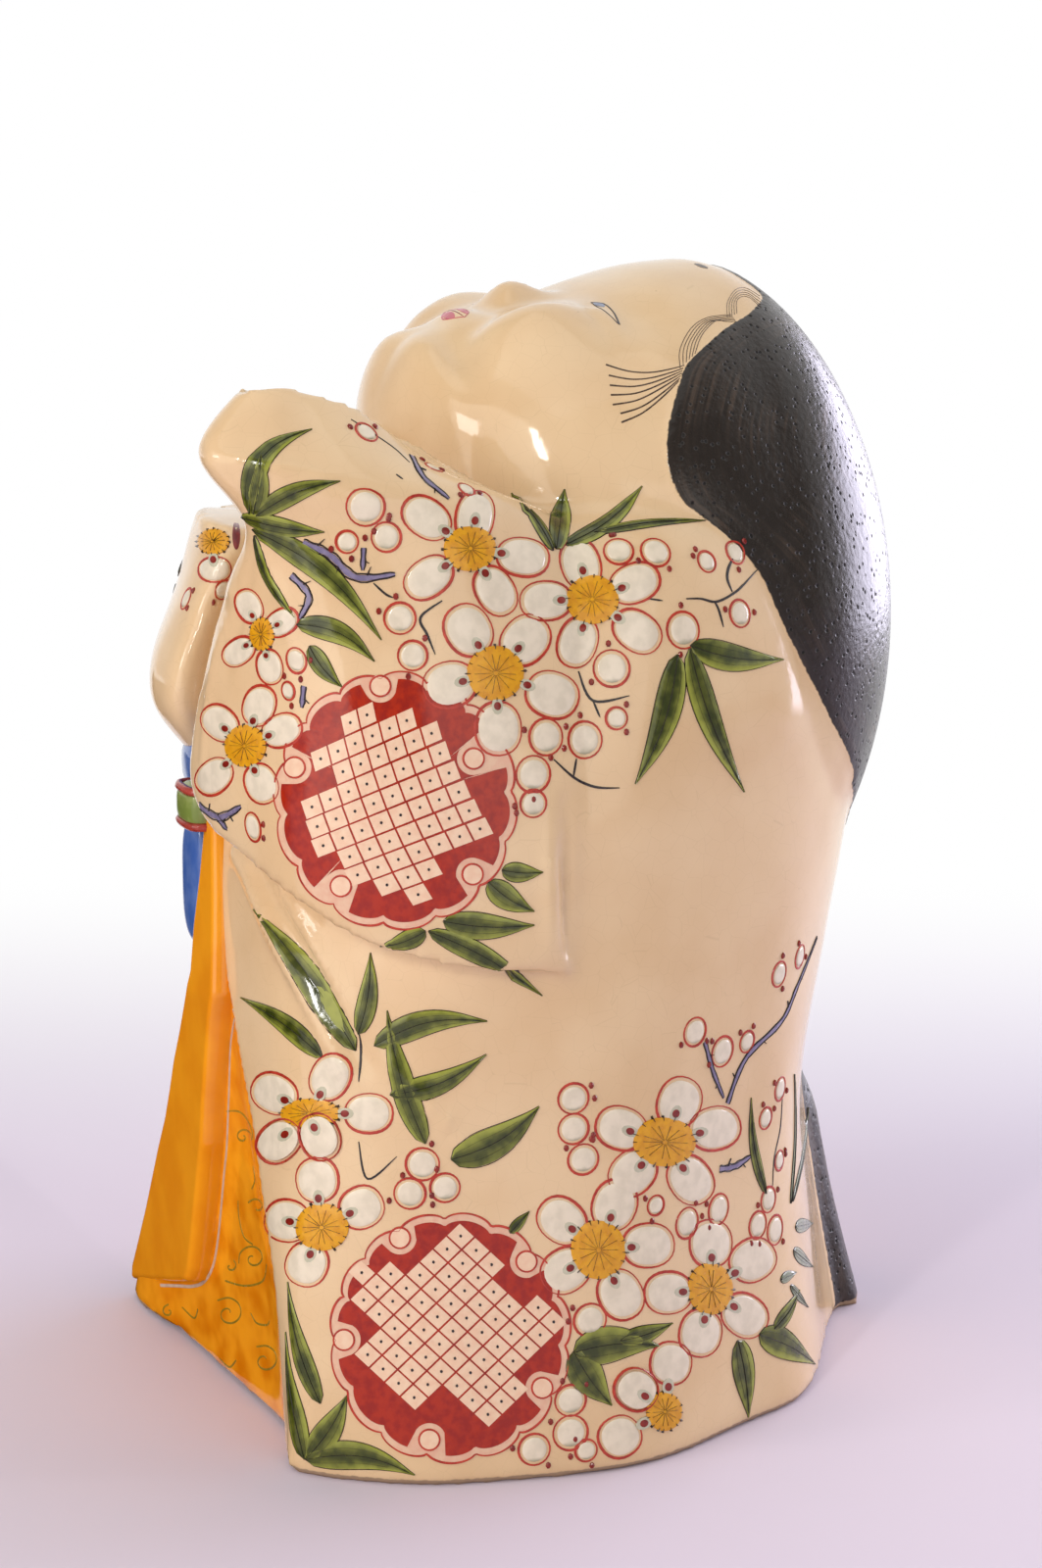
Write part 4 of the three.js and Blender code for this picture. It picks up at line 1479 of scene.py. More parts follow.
@dataclass(frozen=True)
class Roundel(Plates):
    """A scalloped roundel: rose band, brick ground, a lattice of cream cells and five ring discs.

    Args:
        centre, radii: Its middle, and half width and half height of its outline.
        rings: Middles of the five ring discs, counter-clockwise as seen.
        cell: Middle of the lattice cell numbered 0, 0.
        along, down: Steps to the next cell in a row, and to the next row.
        bend: How much the steps lengthen: along by row, and down by row.
        rows: Row number, and numbers of its first and last cell.
        band, disc: Width of the rose band, and radius of a ring disc.
        around: Points round its outline.
    """

    centre: Pixel
    radii: Pixel
    rings: Path
    cell: Pixel
    along: Pixel
    down: Pixel
    bend: tuple[Pixel, Pixel]
    rows: tuple[tuple[int, int, int], ...]
    band: float = 7.5
    disc: float = 10.5
    around: int = 300

    CELL_HALF = 0.452
    CLEARANCE = 6.5
    LINE_WIDTH = 0.55

    def outline(self) -> Pair:
        """Outline of the border, and of the ground inside it.

        Between two ring discs stand three scallops, each |sin| to the power 0.5 of its phase. The ground
        keeps the band's width from the border, and keeps clear of each disc by a circle round it.
        """
        way = circle(self.around) * (1, -1)
        turn = 2 * np.pi * np.arange(self.around) / self.around
        ways = np.array(self.rings) - self.centre
        angles = np.sort(np.arctan2(-ways[:, 1], ways[:, 0]))
        knots = np.append(angles, angles[0] + 2 * np.pi)
        phase = np.interp((turn - knots[0]) % (2 * np.pi) + knots[0], knots, np.arange(len(knots)))
        scallop = np.abs(np.sin(3 * np.pi * phase)) ** 0.5
        border = way * self.radii * (0.935 + 0.065 * scallop)[:, None]
        ground = np.linalg.norm(border, axis=1) - self.band
        for ring in ways:
            distance = np.linalg.norm(ring)
            cosine = (way @ ring) / distance
            inside = (self.disc + self.CLEARANCE) ** 2 - distance**2 * (1 - cosine**2)
            notch = distance * cosine - np.sqrt(np.maximum(inside, 0))
            ground = np.where((inside > 0) & (cosine > 0), np.minimum(ground, notch), ground)
        return self.centre + border, self.centre + way * ground[:, None]

    def cells(self) -> list[Array]:
        """Outline of each lattice cell: four corners and the middles of its sides."""
        cell, along, down = (np.array(value) for value in (self.cell, self.along, self.down))
        bend_along, bend_down = (np.array(value) for value in self.bend)
        corners = np.array([(-1, -1), (-1, 0), (-1, 1), (0, 1), (1, 1), (1, 0), (1, -1), (0, -1)])
        across, upright = np.hsplit(corners * self.CELL_HALF, 2)
        outlines = []
        for row, first, last in self.rows:
            step = along + bend_along * row
            drop = down + bend_down * row
            for column in range(first, last + 1):
                middle = cell + step * column + drop * row
                outlines.append(middle + across * step + upright * (drop + bend_down * row))
        return outlines

    def plates(self) -> list[Plate]:
        """Border, ground, cells, their dots and the ring discs."""
        border, ground = self.outline()
        centre = np.array(self.centre)
        shares = np.linspace(1, 0.08, 15)[:, None, None]
        plates = [
            Plate(Paint.ROSE, centre + shares * (border - centre), (0.07,) * 15),
            Plate(Paint.BRICK, centre + shares * (ground - centre), (0.12,) * 15),
        ]
        for outline in self.cells():
            middle = outline.mean(axis=0)
            plates.append(Plate(Paint.CELL, outline[None], (0.16,)))
            plates.append(Plate(Paint.BLACK, (middle + circle(5) * (1.6, -1.8))[None], (0.22,)))
        shares = np.array([1, 0.5])[:, None, None]
        for ring in self.rings:
            disc = shares * circle(20) * (self.disc, -self.disc)
            plates.append(Plate(Paint.CELL, np.array(ring) + disc, (0.19, 0.19)))
        return plates

    def lines(self) -> list[Line]:
        """The outer line and the ring discs' lines."""
        border, _ = self.outline()
        rings = [np.array(ring) + circle(22) * (self.disc, -self.disc) for ring in self.rings]
        swell = 1 + 0.25 * np.sin(np.arange(self.around) * 0.15)
        outer = Line(Paint.RED, border, self.LINE_WIDTH * swell, 0.2)
        return [outer, *(Line(Paint.RED, ring, self.LINE_WIDTH, 0.27) for ring in rings)]


def pixels(points: Array) -> Path:
    """Turn rows of an array to point pairs."""
    return tuple(map(tuple, points))


def spiral(centre: Pixel, radius: float, turns: float, start: float, sense: int = 1) -> Path:
    """Points of a scroll that opens from its eye as r grows evenly with the turn."""
    share = np.linspace(0.12, 1, max(6, int(turns * 9)))
    angle = math.radians(start) + sense * 2 * np.pi * turns * (share - 1)
    way = np.column_stack([np.cos(angle), -np.sin(angle)])
    return pixels(np.array(centre) + (radius * share)[:, None] * way)


def blossoms(*rows: tuple) -> tuple[Blossom, ...]:
    """Blossoms from rows of centre, petals, petal size, size of the middle and petals in front."""
    return tuple(Blossom(*row) for row in rows)


def buds(*rows: Place) -> tuple[Bud, ...]:
    """Buds from rows of x, y and radius."""
    return tuple(Bud((x, y), radius) for x, y, radius in rows)


def leaves(*rows: Row, enamel: Paint = Paint.LEAF) -> tuple[Leaf, ...]:
    """Leaves from rows of the stem's x and y, the tip's x and y, width and bow."""
    return tuple(Leaf(row[:2], row[2:4], *row[4:], enamel) for row in rows)


def twigs(*rows: tuple[float, Path]) -> tuple[Stroke, ...]:
    """Thin black strokes from rows of width and points."""
    return tuple(Stroke(Paint.BLACK, points, width) for width, points in rows)


def branches(*rows: tuple[float, Path]) -> tuple[Branch, ...]:
    """Branches from rows of width and points."""
    return tuple(Branch(through=points, width=width) for width, points in rows)


def hair_fan(count: int, first: Path, step: Path,
             width: float) -> tuple[Stroke, ...]:
    """Hair strokes side by side, each point of the first moved on by its own step from one to the next."""
    paths = (pixels(np.array(first) + np.array(step) * k) for k in range(count))
    return tuple(Stroke(Paint.STRAND, path, width, (1.0, 0.7), 0.08) for path in paths)


def temple_strand(k: int, tip: Pixel) -> Stroke:
    """Hair stroke k before the ear: from its tip to the hairline, sagging a little on the way."""
    tip, root = np.array(tip, float), np.array([698, 373 + 2.6 * k])
    sag = ((0, 7 - 0.4 * k), (0, 6.5 - 0.8 * k))
    path = (tip, (2 * tip + root) / 3 + sag[0], (tip + 2 * root) / 3 + sag[1], root - (0.9 * k, 0))
    return Stroke(Paint.STRAND, pixels(path), 0.46, (1.3, 0.5), 0.08)


def face_stroke(enamel: Paint, points: Path, width: float, tips: Span,
                height: float = 0.1) -> Stroke:
    """A stroke on the face, its points in mm seen from above."""
    return Stroke(enamel, points, width, tips, height, Outlook.ABOVE)


UPPER_ROUNDEL = Roundel(
    (403.5, 817), (124.5, 132), ((388, 700), (301, 783), (348, 904), (482, 892), (483, 774)),
    (357.6, 737.2), (16.9, -7.8), (4.6, 21.6), ((0.55, 0.0), (0.34, -0.235)),
    (
        (0, 0, 1), (1, -2, 3), (2, -1, 4), (3, -3, 4), (4, -3, 4), (5, -3, 4), (6, -2, 4), (7, -2, 4),
        (8, -1, 1), (9, 0, 0),
    ),
)
LOWER_ROUNDEL = Roundel(
    (459.5, 1365), (123.5, 128), ((408, 1263), (351, 1367), (438, 1469), (553, 1416), (537, 1287)),
    (469.8, 1261), (15.8, 14.6), (-13.8, 13.3), ((0.0, 0.0), (0.0, 0.0)),
    (
        (0, 0, 2), (0, 5, 6), (1, 0, 6), (2, 0, 6), (3, 0, 6), (4, -1, 7), (5, -2, 7), (6, -1, 7),
        (7, 1, 4), (8, 1, 4),
    ),
)
SLEEVE_BLOSSOMS = blossoms(
    ((479, 560), ((439, 588), (437, 530), (484, 530), (531, 568), (504, 601)), (27.5, 20), (26.5, 23)),
    ((251, 761), ((226, 739), (264, 722), (286, 746), (266, 798), (220, 791)), (21.5, 17), (21, 21.5)),
    ((268, 647), ((255, 620), (286, 636), (275, 679), (245, 664)), (18.5, 13.5), (12.5, 17)),
    ((218, 553), ((219, 580),), (13, 17), (16, 13)),
)
SIDE_BLOSSOMS = blossoms(
    ((604, 612), ((593, 578), (645, 596), (648, 643), (590, 653), (559, 613)), (27, 20.5), (27, 25)),
    ((505, 687), ((479, 645), (534, 655), (561, 708), (508, 741), (461, 698)), (28, 24), (29, 28)),
    ((317, 1136), ((282, 1117), (336, 1101), (374, 1136), (287, 1163), (326, 1158)), (25, 20.5), (30, 15), 2),
    ((329, 1252), ((324, 1206), (367, 1233), (314, 1288), (295, 1246)), (23.5, 22), (27, 24)),
    ((677, 1165), ((647, 1195), (636, 1152), (692, 1127), (727, 1152), (703, 1202)), (27, 22.5), (32, 25)),
    ((610, 1275), ((575, 1247), (626, 1232), (659, 1271), (632, 1319), (579, 1295)), (27, 23), (28, 30)),
    ((724, 1315), ((725, 1271), (766, 1287), (758, 1341), (715, 1358), (684, 1319)), (25, 22), (23, 26.5)),
    ((677, 1440), ((684, 1393), (634, 1465), (650, 1419)), (22.5, 21.5), (18, 20), 1),
)
SLEEVE_BUDS = buds(
    (373, 517, 21), (394, 548, 16), (354, 553, 12), (374, 441, 13), (442, 477, 10), (476, 499, 10),
    (228, 602, 11), (190, 611, 12), (302, 674, 14), (294, 705, 10), (258, 844, 16),
)
RIGHT_BLOSSOM = Blossom(
    (408, 790), ((371, 762), (412, 743), (451, 776), (433, 826), (385, 829)), (27, 21.5), (27, 26)
)
SIDE_BUDS = buds(
    (408, 631, 17), (421, 669, 16), (624, 682, 20), (697, 643, 20), (631, 562, 16), (669, 563, 17),
    (721, 573, 12), (750, 564, 13), (755, 626, 15), (629, 733, 12), (557, 752, 20), (596, 755, 20),
    (544, 790, 20), (544, 820, 15), (431, 1188, 18), (418, 1218, 17), (454, 1212, 16), (585, 1121, 17),
    (585, 1152, 17), (595, 1183, 17), (669, 1230, 11), (701, 1248, 17), (733, 1234, 17), (602, 1347, 18),
    (582, 1429, 17), (582, 1462, 19), (545, 1479, 17), (598, 1480, 12), (709, 1053, 16), (737, 1073, 17),
    (762, 1063, 12), (795, 994, 14), (816, 976, 13), (796, 1111, 13), (781, 1141, 12), (795, 1184, 11),
    (784, 1224, 14), (773, 1250, 15), (791, 1255, 16),
)
SLEEVE_LEAVES = leaves(
    (255, 524, 318, 438, 27, -0.22), (259, 524, 266, 462, 25, 0.03), (262, 526, 347, 491, 23, -0.07),
    (247, 527, 331, 543, 24, 0.04), (258, 540, 389, 653, 28, -0.08), (260, 546, 301, 630, 20, 0.08),
)
SIDE_LEAVES = leaves(
    (303, 637, 382, 675, 26, -0.12), (316, 659, 349, 701, 23, 0.06), (564, 562, 522, 503, 21, 0.05),
    (567, 560, 576, 499, 27, 0.0), (577, 556, 655, 496, 25, 0.08), (606, 544, 720, 531, 15, -0.03),
    (704, 659, 799, 673, 32, 0.06), (703, 662, 759, 808, 32, 0.04), (691, 668, 648, 800, 35, -0.06),
    (512, 888, 554, 890, 22, 0.04), (498, 900, 545, 930, 28, 0.06), (452, 940, 545, 944, 31, 0.04),
    (437, 950, 553, 1016, 24, -0.04), (434, 950, 388, 966, 22, -0.06), (363, 1072, 259, 928, 35, 0.03),
    (329, 1078, 246, 1018, 26, 0.04), (366, 1055, 378, 972, 24, 0.05), (382, 1067, 497, 1042, 29, -0.1),
    (398, 1117, 496, 1076, 27, 0.08), (434, 1167, 395, 1031, 29, -0.04), (460, 1183, 550, 1129, 39, 0.08),
    (311, 1489, 292, 1359, 29, -0.03), (314, 1487, 354, 1424, 30, 0.05), (312, 1489, 423, 1505, 32, -0.1),
    (327, 1432, 294, 1308, 25, -0.05), (585, 1380, 672, 1373, 42, -0.06), (632, 1368, 686, 1350, 22, 0.04),
    (585, 1379, 624, 1434, 38, 0.04), (752, 1368, 763, 1446, 35, -0.03), (774, 1362, 831, 1392, 33, -0.06),
    (789, 1356, 815, 1316, 20, 0.06), (781, 1218, 766, 1120, 15, -0.05), (520, 1258, 540, 1236, 12, 0.0),
)
MISTY_LEAVES = leaves(
    (806, 1228, 810, 1096, 10, 0.02), (808, 1226, 824, 1130, 11, 0.03), (811, 1252, 829, 1248, 15, 0.0),
    (809, 1276, 829, 1293, 16, 0.0), (796, 1306, 812, 1298, 12, 0.0), (806, 1312, 824, 1334, 11, 0.0),
    enamel=Paint.MIST,
)
SLEEVE_BRANCHES = (
    *branches(
        (1.5, ((309, 554), (336, 566), (363, 589), (403, 586))),
        (0.8, ((371, 559), (370, 582))),
        (1.3, ((297, 587), (315, 608), (306, 631))),
        (1.1, ((420, 465), (433, 488), (458, 509))),
        (1.1, ((310, 700), (308, 722))),
        (1.5, ((204, 822), (224, 834), (246, 823))),
        (1.3, ((222, 834), (232, 846))),
    ),
    *twigs(
        (0.6, ((381, 595), (393, 606), (401, 610))),
        (0.4, ((358, 428), (380, 442), (403, 458), (418, 472))),
        (0.5, ((404, 484), (411, 489))),
    ),
    Daub(Paint.LINING, (241, 546), (4, 15), 0, 0.1),
)
SIDE_BRANCHES = (
    *branches(
        (1.2, ((742, 1126), (762, 1078), (799, 1039), (814, 1004), (833, 956))),
        (0.9, ((719, 1063), (727, 1092), (738, 1120))),
        (1.3, ((734, 1193), (750, 1190), (765, 1180))),
    ),
    *twigs(
        (0.72, ((451, 613), (429, 630), (436, 648), (444, 668))),
        (0.72, ((590, 685), (605, 715), (642, 710))),
        (0.6, ((605, 715), (612, 732))),
        (0.72, ((565, 775), (585, 793), (607, 803), (632, 804))),
        (0.66, ((585, 792), (588, 774))),
        (0.95, ((748, 569), (743, 580), (742, 591), (747, 604))),
        (0.7, ((700, 611), (715, 611), (731, 614), (749, 605), (761, 594), (773, 581))),
        (0.7, ((729, 614), (733, 622), (738, 640))),
        (0.5, ((662, 611), (676, 613))),
        (0.7, ((366, 1053), (368, 1080), (366, 1104))),
        (0.6, ((366, 1165), (375, 1203), (405, 1180))),
        (0.6, ((798, 1120), (796, 1150), (790, 1180), (788, 1210))),
    ),
)
SCROLLS = tuple(
    Stroke(Paint.OLIVE, points, 0.62, (0.6, 0.9), 0.1)
    for points in (
        ((231, 1134), (245, 1135), (256, 1150), (258, 1163)),
        spiral((248, 1160), 9, 1.4, -20, -1),
        ((258, 1190), (260, 1203), (257, 1213)),
        ((243, 1225), (244, 1243), (249, 1262), (258, 1270)),
        spiral((262, 1232), 10, 0.9, 150, 1),
        spiral((258, 1284), 15, 1.5, 200, 1),
        ((272, 1290), (268, 1307), (250, 1312), (230, 1307)),
        spiral((235, 1292), 7, 0.9, 60, 1),
        spiral((233, 1340), 17, 1.5, 130, 1),
        ((256, 1340), (262, 1350), (272, 1352), (275, 1348)),
        spiral((270, 1388), 16, 1.4, 120, 1),
        ((224, 1386), (234, 1395), (241, 1388)),
        spiral((172, 1338), 7, 1.1, 90, -1),
        ((186, 1334), (198, 1345), (202, 1336)),
    )
)
PANEL_BORDER = Stroke(
    Paint.PALE,
    (
        (238, 1030), (236, 1060), (233.5, 1120), (231.5, 1169), (228.5, 1200), (226, 1229), (222, 1268),
        (217, 1293), (208, 1308), (196, 1312.5), (180, 1312), (164, 1311.5),
    ),
    1.1, (0.7, 0.9), 0.15,
)
TEMPLE_TIPS = ((618, 372), (621, 383), (622, 393), (623, 403), (625, 413), (633, 422), (634, 431))
HAIR_STROKES = (
    *(temple_strand(k, tip) for k, tip in enumerate(TEMPLE_TIPS)),
    *hair_fan(
        6, ((694, 376), (693.5, 357), (705, 335), (722, 324), (746, 321)),
        ((3, -3), (4.5, -3), (5, -1.5), (3.5, 0.8), (1, 1.4)), 0.2,
    ),
    *hair_fan(
        5, ((742, 324), (742, 309), (750, 296), (761, 294), (775, 302)),
        ((2.4, -1), (2.4, -0.4), (2, 1.6), (1.4, 2.8), (0.4, 3)), 0.13,
    ),
)
EYE_AND_BROW = (
    Daub(Paint.LID, (19.3, 4.0), (1.5, 0.95), 10, 0.06, Outlook.ABOVE),
    face_stroke(Paint.BLACK, ((17.6, 3), (18.6, 4.6), (20, 5.3), (23.5, 5.4), (27.6, 4.6)), 0.46, (0.6, 1.5)),
    face_stroke(Paint.BLACK, ((17.6, 3), (20.6, 3), (24, 3.5), (27.4, 4.4)), 0.36, (0.5, 1.1)),
    Daub(Paint.STRAND, (9.4, 30.6), (1.9, 0.9), 12, 0.06, Outlook.ABOVE),
)
UPPER_LIP = ((-3.8, -18.6), (-2, -17.1), (0.2, -16.7), (1, -17), (1.8, -16.7), (4, -17.1), (5.8, -18.6))
LOWER_LIP = ((-3.8, -18.6), (-1.4, -20.6), (1, -21.3), (3.4, -20.6), (5.8, -18.6))
MOUTH = (
    Daub(Paint.LIP, (1, -17.6), (3.9, 0.6), 0, 0.08, Outlook.ABOVE),
    Daub(Paint.LIP, (1, -20.2), (2.9, 0.8), 0, 0.08, Outlook.ABOVE),
    face_stroke(Paint.LIP, UPPER_LIP, 0.45, (0.4, 0.4), 0.12),
    face_stroke(Paint.LIP, LOWER_LIP, 0.45, (0.4, 0.4), 0.12),
    face_stroke(Paint.DOT, ((-3.2, -18.7), (1, -18.9), (5.2, -18.7)), 0.3, (0.3, 0.3)),
)


@dataclass
class Kimono:
    """The front opening's raised panel, the sash, its knot and its hanging end.

    Args:
        left, right: The panel's edges, pairs of z and x.
        back, face: Depth it reaches back to, inside the casting, and depth of its face.
        rounding: Width of its rounded rim.
        foot, top: Heights of its lowest slice, and of its highest under the knot.
        thinning: Heights and shares of its thickness, which falls under the sash.
        sash, knot, tail: Middle and half sizes of the sash, the cord knot and the hanging end.
        power: Squareness of these three, where 2 is an ellipsoid.
        cord: Width and height of the cords on the knot.
    """

    left: Table = (
        (2.6, -55), (7, -54.2), (15.7, -48), (24.3, -42), (32.5, -36.8), (40.5, -31.7), (48.6, -26),
        (56.2, -21.9), (63.4, -18.4), (70.9, -13.7), (78.1, -9.7), (85.2, -6), (95, -5.4), (105, -3.2),
        (118, -1),
    )
    right: Table = (
        (2.6, -55), (3.6, -52), (7, -41.5), (12, -26), (17.2, -11), (20.5, -8.6), (27.5, -5.8), (36.7, -2.6),
        (50.6, 2.2), (61.1, 4.4), (78.8, 9.4), (83.9, 11.4), (90.8, 10.4), (102.8, 8.6), (118, 5.6),
    )
    back: float = -69.2
    face: float = -74.35
    rounding: float = 2.4
    foot: float = 3.2
    top: float = 118
    thinning: Table = ((82, 95, 105, 118), (1, 0.8, 0.66, 0.5))
    sash: Table = ((0, -52, 124.5), (33, 19.5, 8))
    knot: Table = ((-4.5, -70.8, 119), (6.5, 4.4, 4.6))
    tail: Table = ((-13, -68.4, 101.5), (6.5, 3.3, 13.5))
    power: float = 3.2
    cord: Span = (1.9, 0.55)

    # The left edge slants, so a distance along x is longer than one across it; the rim ends above the top.
    LEFT_SLANT = 0.85
    TOP_MARGIN = 2.5

    def panel(self) -> Shell:
        """Stack level slices: each runs from edge to edge, its rim rounded off like thick glaze.

        At the distance d from the nearest edge the face lies at
        back + (face - back) * thinning * (1 - (1 - d / r)^3)^(1/3), with r the rounding.
        """
        z = np.linspace(self.foot, self.top, 180)[:, None]
        left, right = (np.interp(z, *np.array(edge, float).T) for edge in (self.left, self.right))
        share = (1 - np.cos(np.pi * np.linspace(0, 1, 60)))[None, :] / 2
        x = left + (right - left) * share
        slope = np.gradient(right[:, 0], z[:, 0])[:, None]
        sides = np.minimum((x - left) * self.LEFT_SLANT, (right - x) / np.sqrt(1 + slope**2))
        distance = np.minimum(sides, self.top + self.TOP_MARGIN - z)
        short = np.clip(1 - distance / self.rounding, 0, 1)
        depth = (self.face - self.back) * np.interp(z, *self.thinning)
        face = self.back + depth * (1 - short**3) ** (1 / 3)
        front = np.stack([x, face, np.broadcast_to(z, x.shape)], axis=-1)
        rear = front[:, ::-1][:, ::4] * (1, 0, 1) + (0, self.back, 0)
        return Shell.loft(np.concatenate([front, rear], axis=1))

    def block(self, middle: Row, half: Row) -> Shell:
        """A rounded block: |x/a|^p + |y/b|^p + |z/c|^p = 1, in rings from low to high."""
        tilt = np.pi * (np.arange(1, 28) / 28 - 0.5)[:, None]
        out, lift = (squared(values, self.power) for values in (np.cos(tilt), np.sin(tilt)))
        around = squared(circle(56), self.power)
        flat = out[:, None] * around
        rings = np.concatenate([flat, np.broadcast_to(lift[:, None], (27, 56, 1))], axis=-1)
        return Shell.loft(rings * half + middle)

    def cords(self) -> list[Shell]:
        """Red cords round the knot's upper and lower edge."""
        middle, half = (np.array(part, float) for part in self.knot)
        out = np.column_stack([squared(circle(48), self.power), np.zeros(48)])
        width, thick = self.cord
        shells = []
        for level in (0.78, -0.78):
            line = middle + out * half * (0.93, 0.93, 0) + (0, 0, level * half[2])
            facing = unit(out + (0, 0, level * 0.6))
            shell, heights, _ = ribbon(line, facing, width, thick, STROKE_SECTION, closed=True)
            outward = np.repeat(facing, len(STROKE_SECTION), 0)
            shells.append(Shell(shell.points + outward * heights[:, None], shell.faces))
        return shells

    def build(self) -> list[Piece]:
        """Make the pieces in their enamels."""
        orange = Enamel("orange_glaze", (0.90, 0.345, 0.012), (0.82, 0.28, 0.008), 0.09, 14.0, 0.05)
        blue = Enamel("blue_glaze", (0.050, 0.12, 0.40), (0.10, 0.18, 0.46), 0.12, 6.0)
        green = Enamel("cord_green", (0.18, 0.24, 0.05), (0.27, 0.32, 0.09), 0.12, 4.0)
        red = Enamel("cord_red", (0.42, 0.06, 0.04), (0.30, 0.03, 0.02))
        parts = (
            ("kimono_panel", self.panel(), orange),
            ("sash", self.block(*self.sash), blue),
            ("sash_end", self.block(*self.tail), blue),
            ("cord_knot", self.block(*self.knot), green),
            ("cord_edges", Shell.joined(self.cords()), red),
        )
        pieces = []
        for name, shell, finish in parts:
            piece = shell.object(name)
            piece.data.materials.append(finish.material())
            pieces.append(piece)
        return pieces


@dataclass(frozen=True)
class Lamp:
    """A rectangular lamp that faces the figure's middle.

    Args:
        name, colour: Its name and its light.
        at, size: Where it stands, and its width and height.
        watts: Its power.
    """

    name: str
    at: Place
    size: Span
    watts: float
    colour: Colour

    def make(self) -> None:
        """Hang the lamp."""
        data = bpy.data.lights.new(self.name, "AREA")
        data.shape = "RECTANGLE"
        data.size, data.size_y = (side * MM for side in self.size)
        data.energy = self.watts
        data.color = self.colour
        lamp = in_scene(self.name, data)
        lamp.location = Vector(self.at) * MM
        lamp.rotation_euler = (lamp.location - Vector(FIGURE_MIDDLE) * MM).to_track_quat("Z", "Y").to_euler()


DAYLIGHT = (1.0, 0.98, 0.94)
LAMPS = (
    Lamp("window", (672, -712, 640), (60, 260), 2.1, DAYLIGHT),
    Lamp("far_window", (60, -1000, 480), (200, 200), 0.9, DAYLIGHT),
    Lamp("front_sky", (330, -1000, 420), (900, 900), 5.0, (1.0, 0.95, 0.86)),
    Lamp("flank_sky", (950, 60, 300), (600, 600), 1.15, DAYLIGHT),
    Lamp("overhead", (80, -160, 980), (800, 800), 1.6, (1.0, 0.98, 0.95)),
    Lamp("side_window", (-250, 960, 250), (900, 480), 9.5, (0.84, 0.80, 1.0)),
)


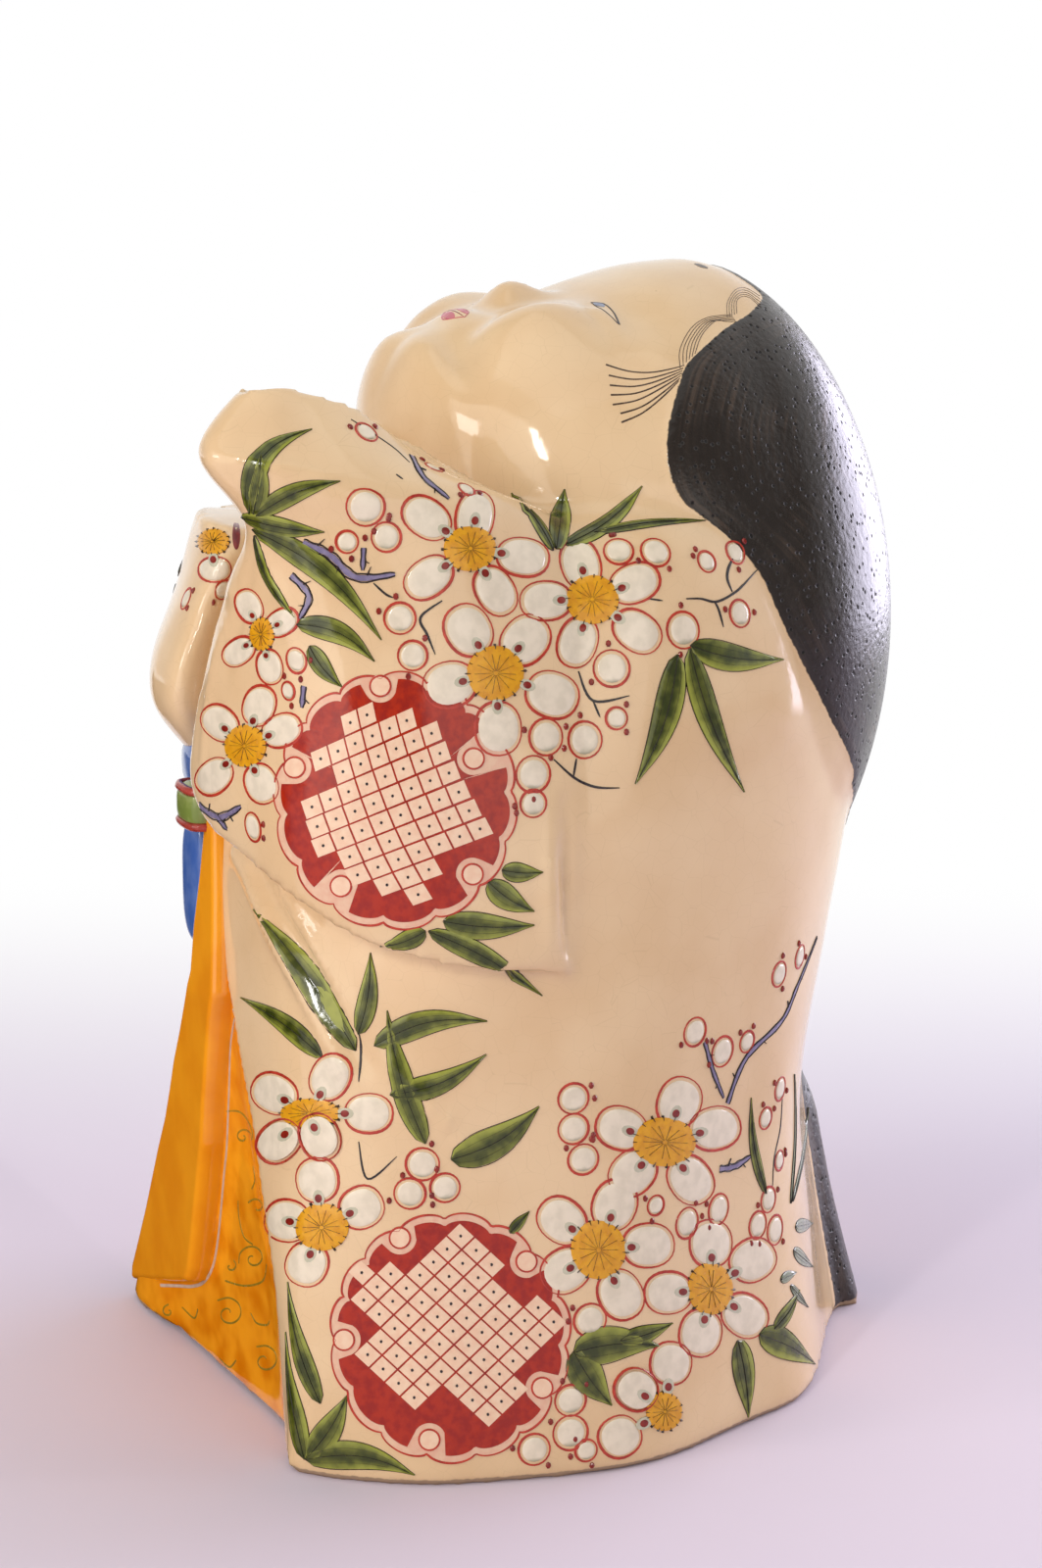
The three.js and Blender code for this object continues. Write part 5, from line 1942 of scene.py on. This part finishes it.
@dataclass
class Studio:
    """The pale floor with its soft backdrop fade, the black card, the white room and the lamps.

    Args:
        dim: Strength of the room's light on its dim side.
        radius, floor_colour: Reach of the floor, and its colour near the figure.
        fade_start, fade_end: Distances behind the figure where it starts to pass into white and is white.
    """

    dim: float = 0.30
    radius: float = 2600.0
    fade_start: float = 60.0
    fade_end: float = 420.0
    floor_colour: Colour = (0.72, 0.645, 0.755)

    # Away from the camera, toward the bright side of the room, and the card's corners in x and y.
    BEHIND = (-0.924, 0.383, 0.0)
    BRIGHT = (-0.545, 0.839, 0.0)
    FLAG = ((52, -71), (-75, -71), (-1500, -190), (-1500, -1100), (-300, -1000))
    FLAG_HEIGHT = 0.4

    def floor(self) -> None:
        """A flat disc under the figure, coloured by distance from it along the line of sight."""
        rings = np.stack([
            np.column_stack([r * circle(96), np.full(96, z)])
            for r, z in ((self.radius, -12.0), (self.radius, 0.0), (900.0, 0.0), (60.0, 0.0))
        ])
        floor = Shell.loft(rings).object("floor")
        sheet = ShaderSheet("pale_floor")
        share = sheet.between(
            sheet.toward(sheet.coordinates, self.BEHIND), self.fade_start * MM, self.fade_end * MM
        )
        level = sheet.node("ShaderNodeVectorMath", {0: sheet.coordinates}, operation="NORMALIZE").outputs[0]
        bright = sheet.between(sheet.toward(level, self.BRIGHT), -0.05, 0.25, self.dim * 0.5, 1.0)
        floor.data.materials.append(sheet.finish(self.floor_colour, 0.7, specular=0.2))
        glow = sheet.node("ShaderNodeEmission", {"Color": (1.0, 1.0, 1.0), "Strength": bright}).outputs[0]
        blend = sheet.node("ShaderNodeMixShader", {0: share, 1: sheet.surface.outputs[0], 2: glow})
        sheet.feed(sheet.output.inputs["Surface"], blend.outputs[0])

    def flag(self) -> None:
        """A black card before the figure, seen by reflections alone, that keeps the orange deep."""
        outline = np.array([(*corner, self.FLAG_HEIGHT) for corner in self.FLAG])
        card = Shell(outline, [np.arange(len(outline))[None]]).object("flag")
        black = ShaderSheet("black_card").finish((0.002, 0.002, 0.002), 0.9, specular=0.0)
        card.data.materials.append(black)
        card.visible_camera = False
        card.visible_diffuse = False
        card.visible_shadow = False

    def surroundings(self) -> None:
        """A white room, bright behind the figure and on its back, and dimmer to its other sides."""
        world = bpy.data.worlds.new("white_room")
        world.use_nodes = True
        sheet = NodeSheet(world.node_tree)
        background = sheet.tree.nodes["Background"]
        way = sheet.node("ShaderNodeTexCoord").outputs["Generated"]
        glow = sheet.between(sheet.toward(way, self.BRIGHT), 0.15, 0.55, self.dim, 1.0)
        sheet.feed(background.inputs["Strength"], glow)
        sheet.feed(background.inputs["Color"], (1.0, 1.0, 1.0))
        bpy.context.scene.world = world

    def build(self) -> None:
        """Make the floor, the card, the lamps and the white surroundings."""
        self.floor()
        self.flag()
        for lamp in LAMPS:
            lamp.make()
        self.surroundings()
        bpy.context.scene.view_settings.view_transform = "Standard"


def show(pieces: Iterable[Piece]) -> None:
    """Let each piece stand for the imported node, ride on the body, and report it."""
    for piece in pieces:
        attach(piece, BODY)
        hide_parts(NODE)
        faces = sum(len(polygon.vertices) - 2 for polygon in piece.data.polygons)
        LOG.info("%s: %d triangles", piece.name, faces)


def main() -> None:
    """Build the figurine and its studio."""
    logging.basicConfig(level=logging.INFO, format="%(name)s: %(message)s")
    view = PhotographView()
    view.make()
    Studio().build()
    skin = Casting().build(view)
    skin.data.materials.append(CastingGlaze().material())
    show([skin])
    show(Kimono().build())
    painter = Painter(view, SkinProbe(skin))
    side = (*SIDE_LEAVES, *MISTY_LEAVES, *SIDE_BRANCHES, LOWER_ROUNDEL, *SIDE_BUDS, *SIDE_BLOSSOMS)
    sleeve = (UPPER_ROUNDEL, *SLEEVE_LEAVES, *SLEEVE_BRANCHES, *SLEEVE_BUDS, *SLEEVE_BLOSSOMS)
    painter.place((*side, *sleeve, *SCROLLS, PANEL_BORDER, *HAIR_STROKES, *EYE_AND_BROW, *MOUTH), False)
    painter.place((*side, RIGHT_BLOSSOM, *HAIR_STROKES, *EYE_AND_BROW), True)
    show(painter.lay())


if __name__ == "__main__":
    main()
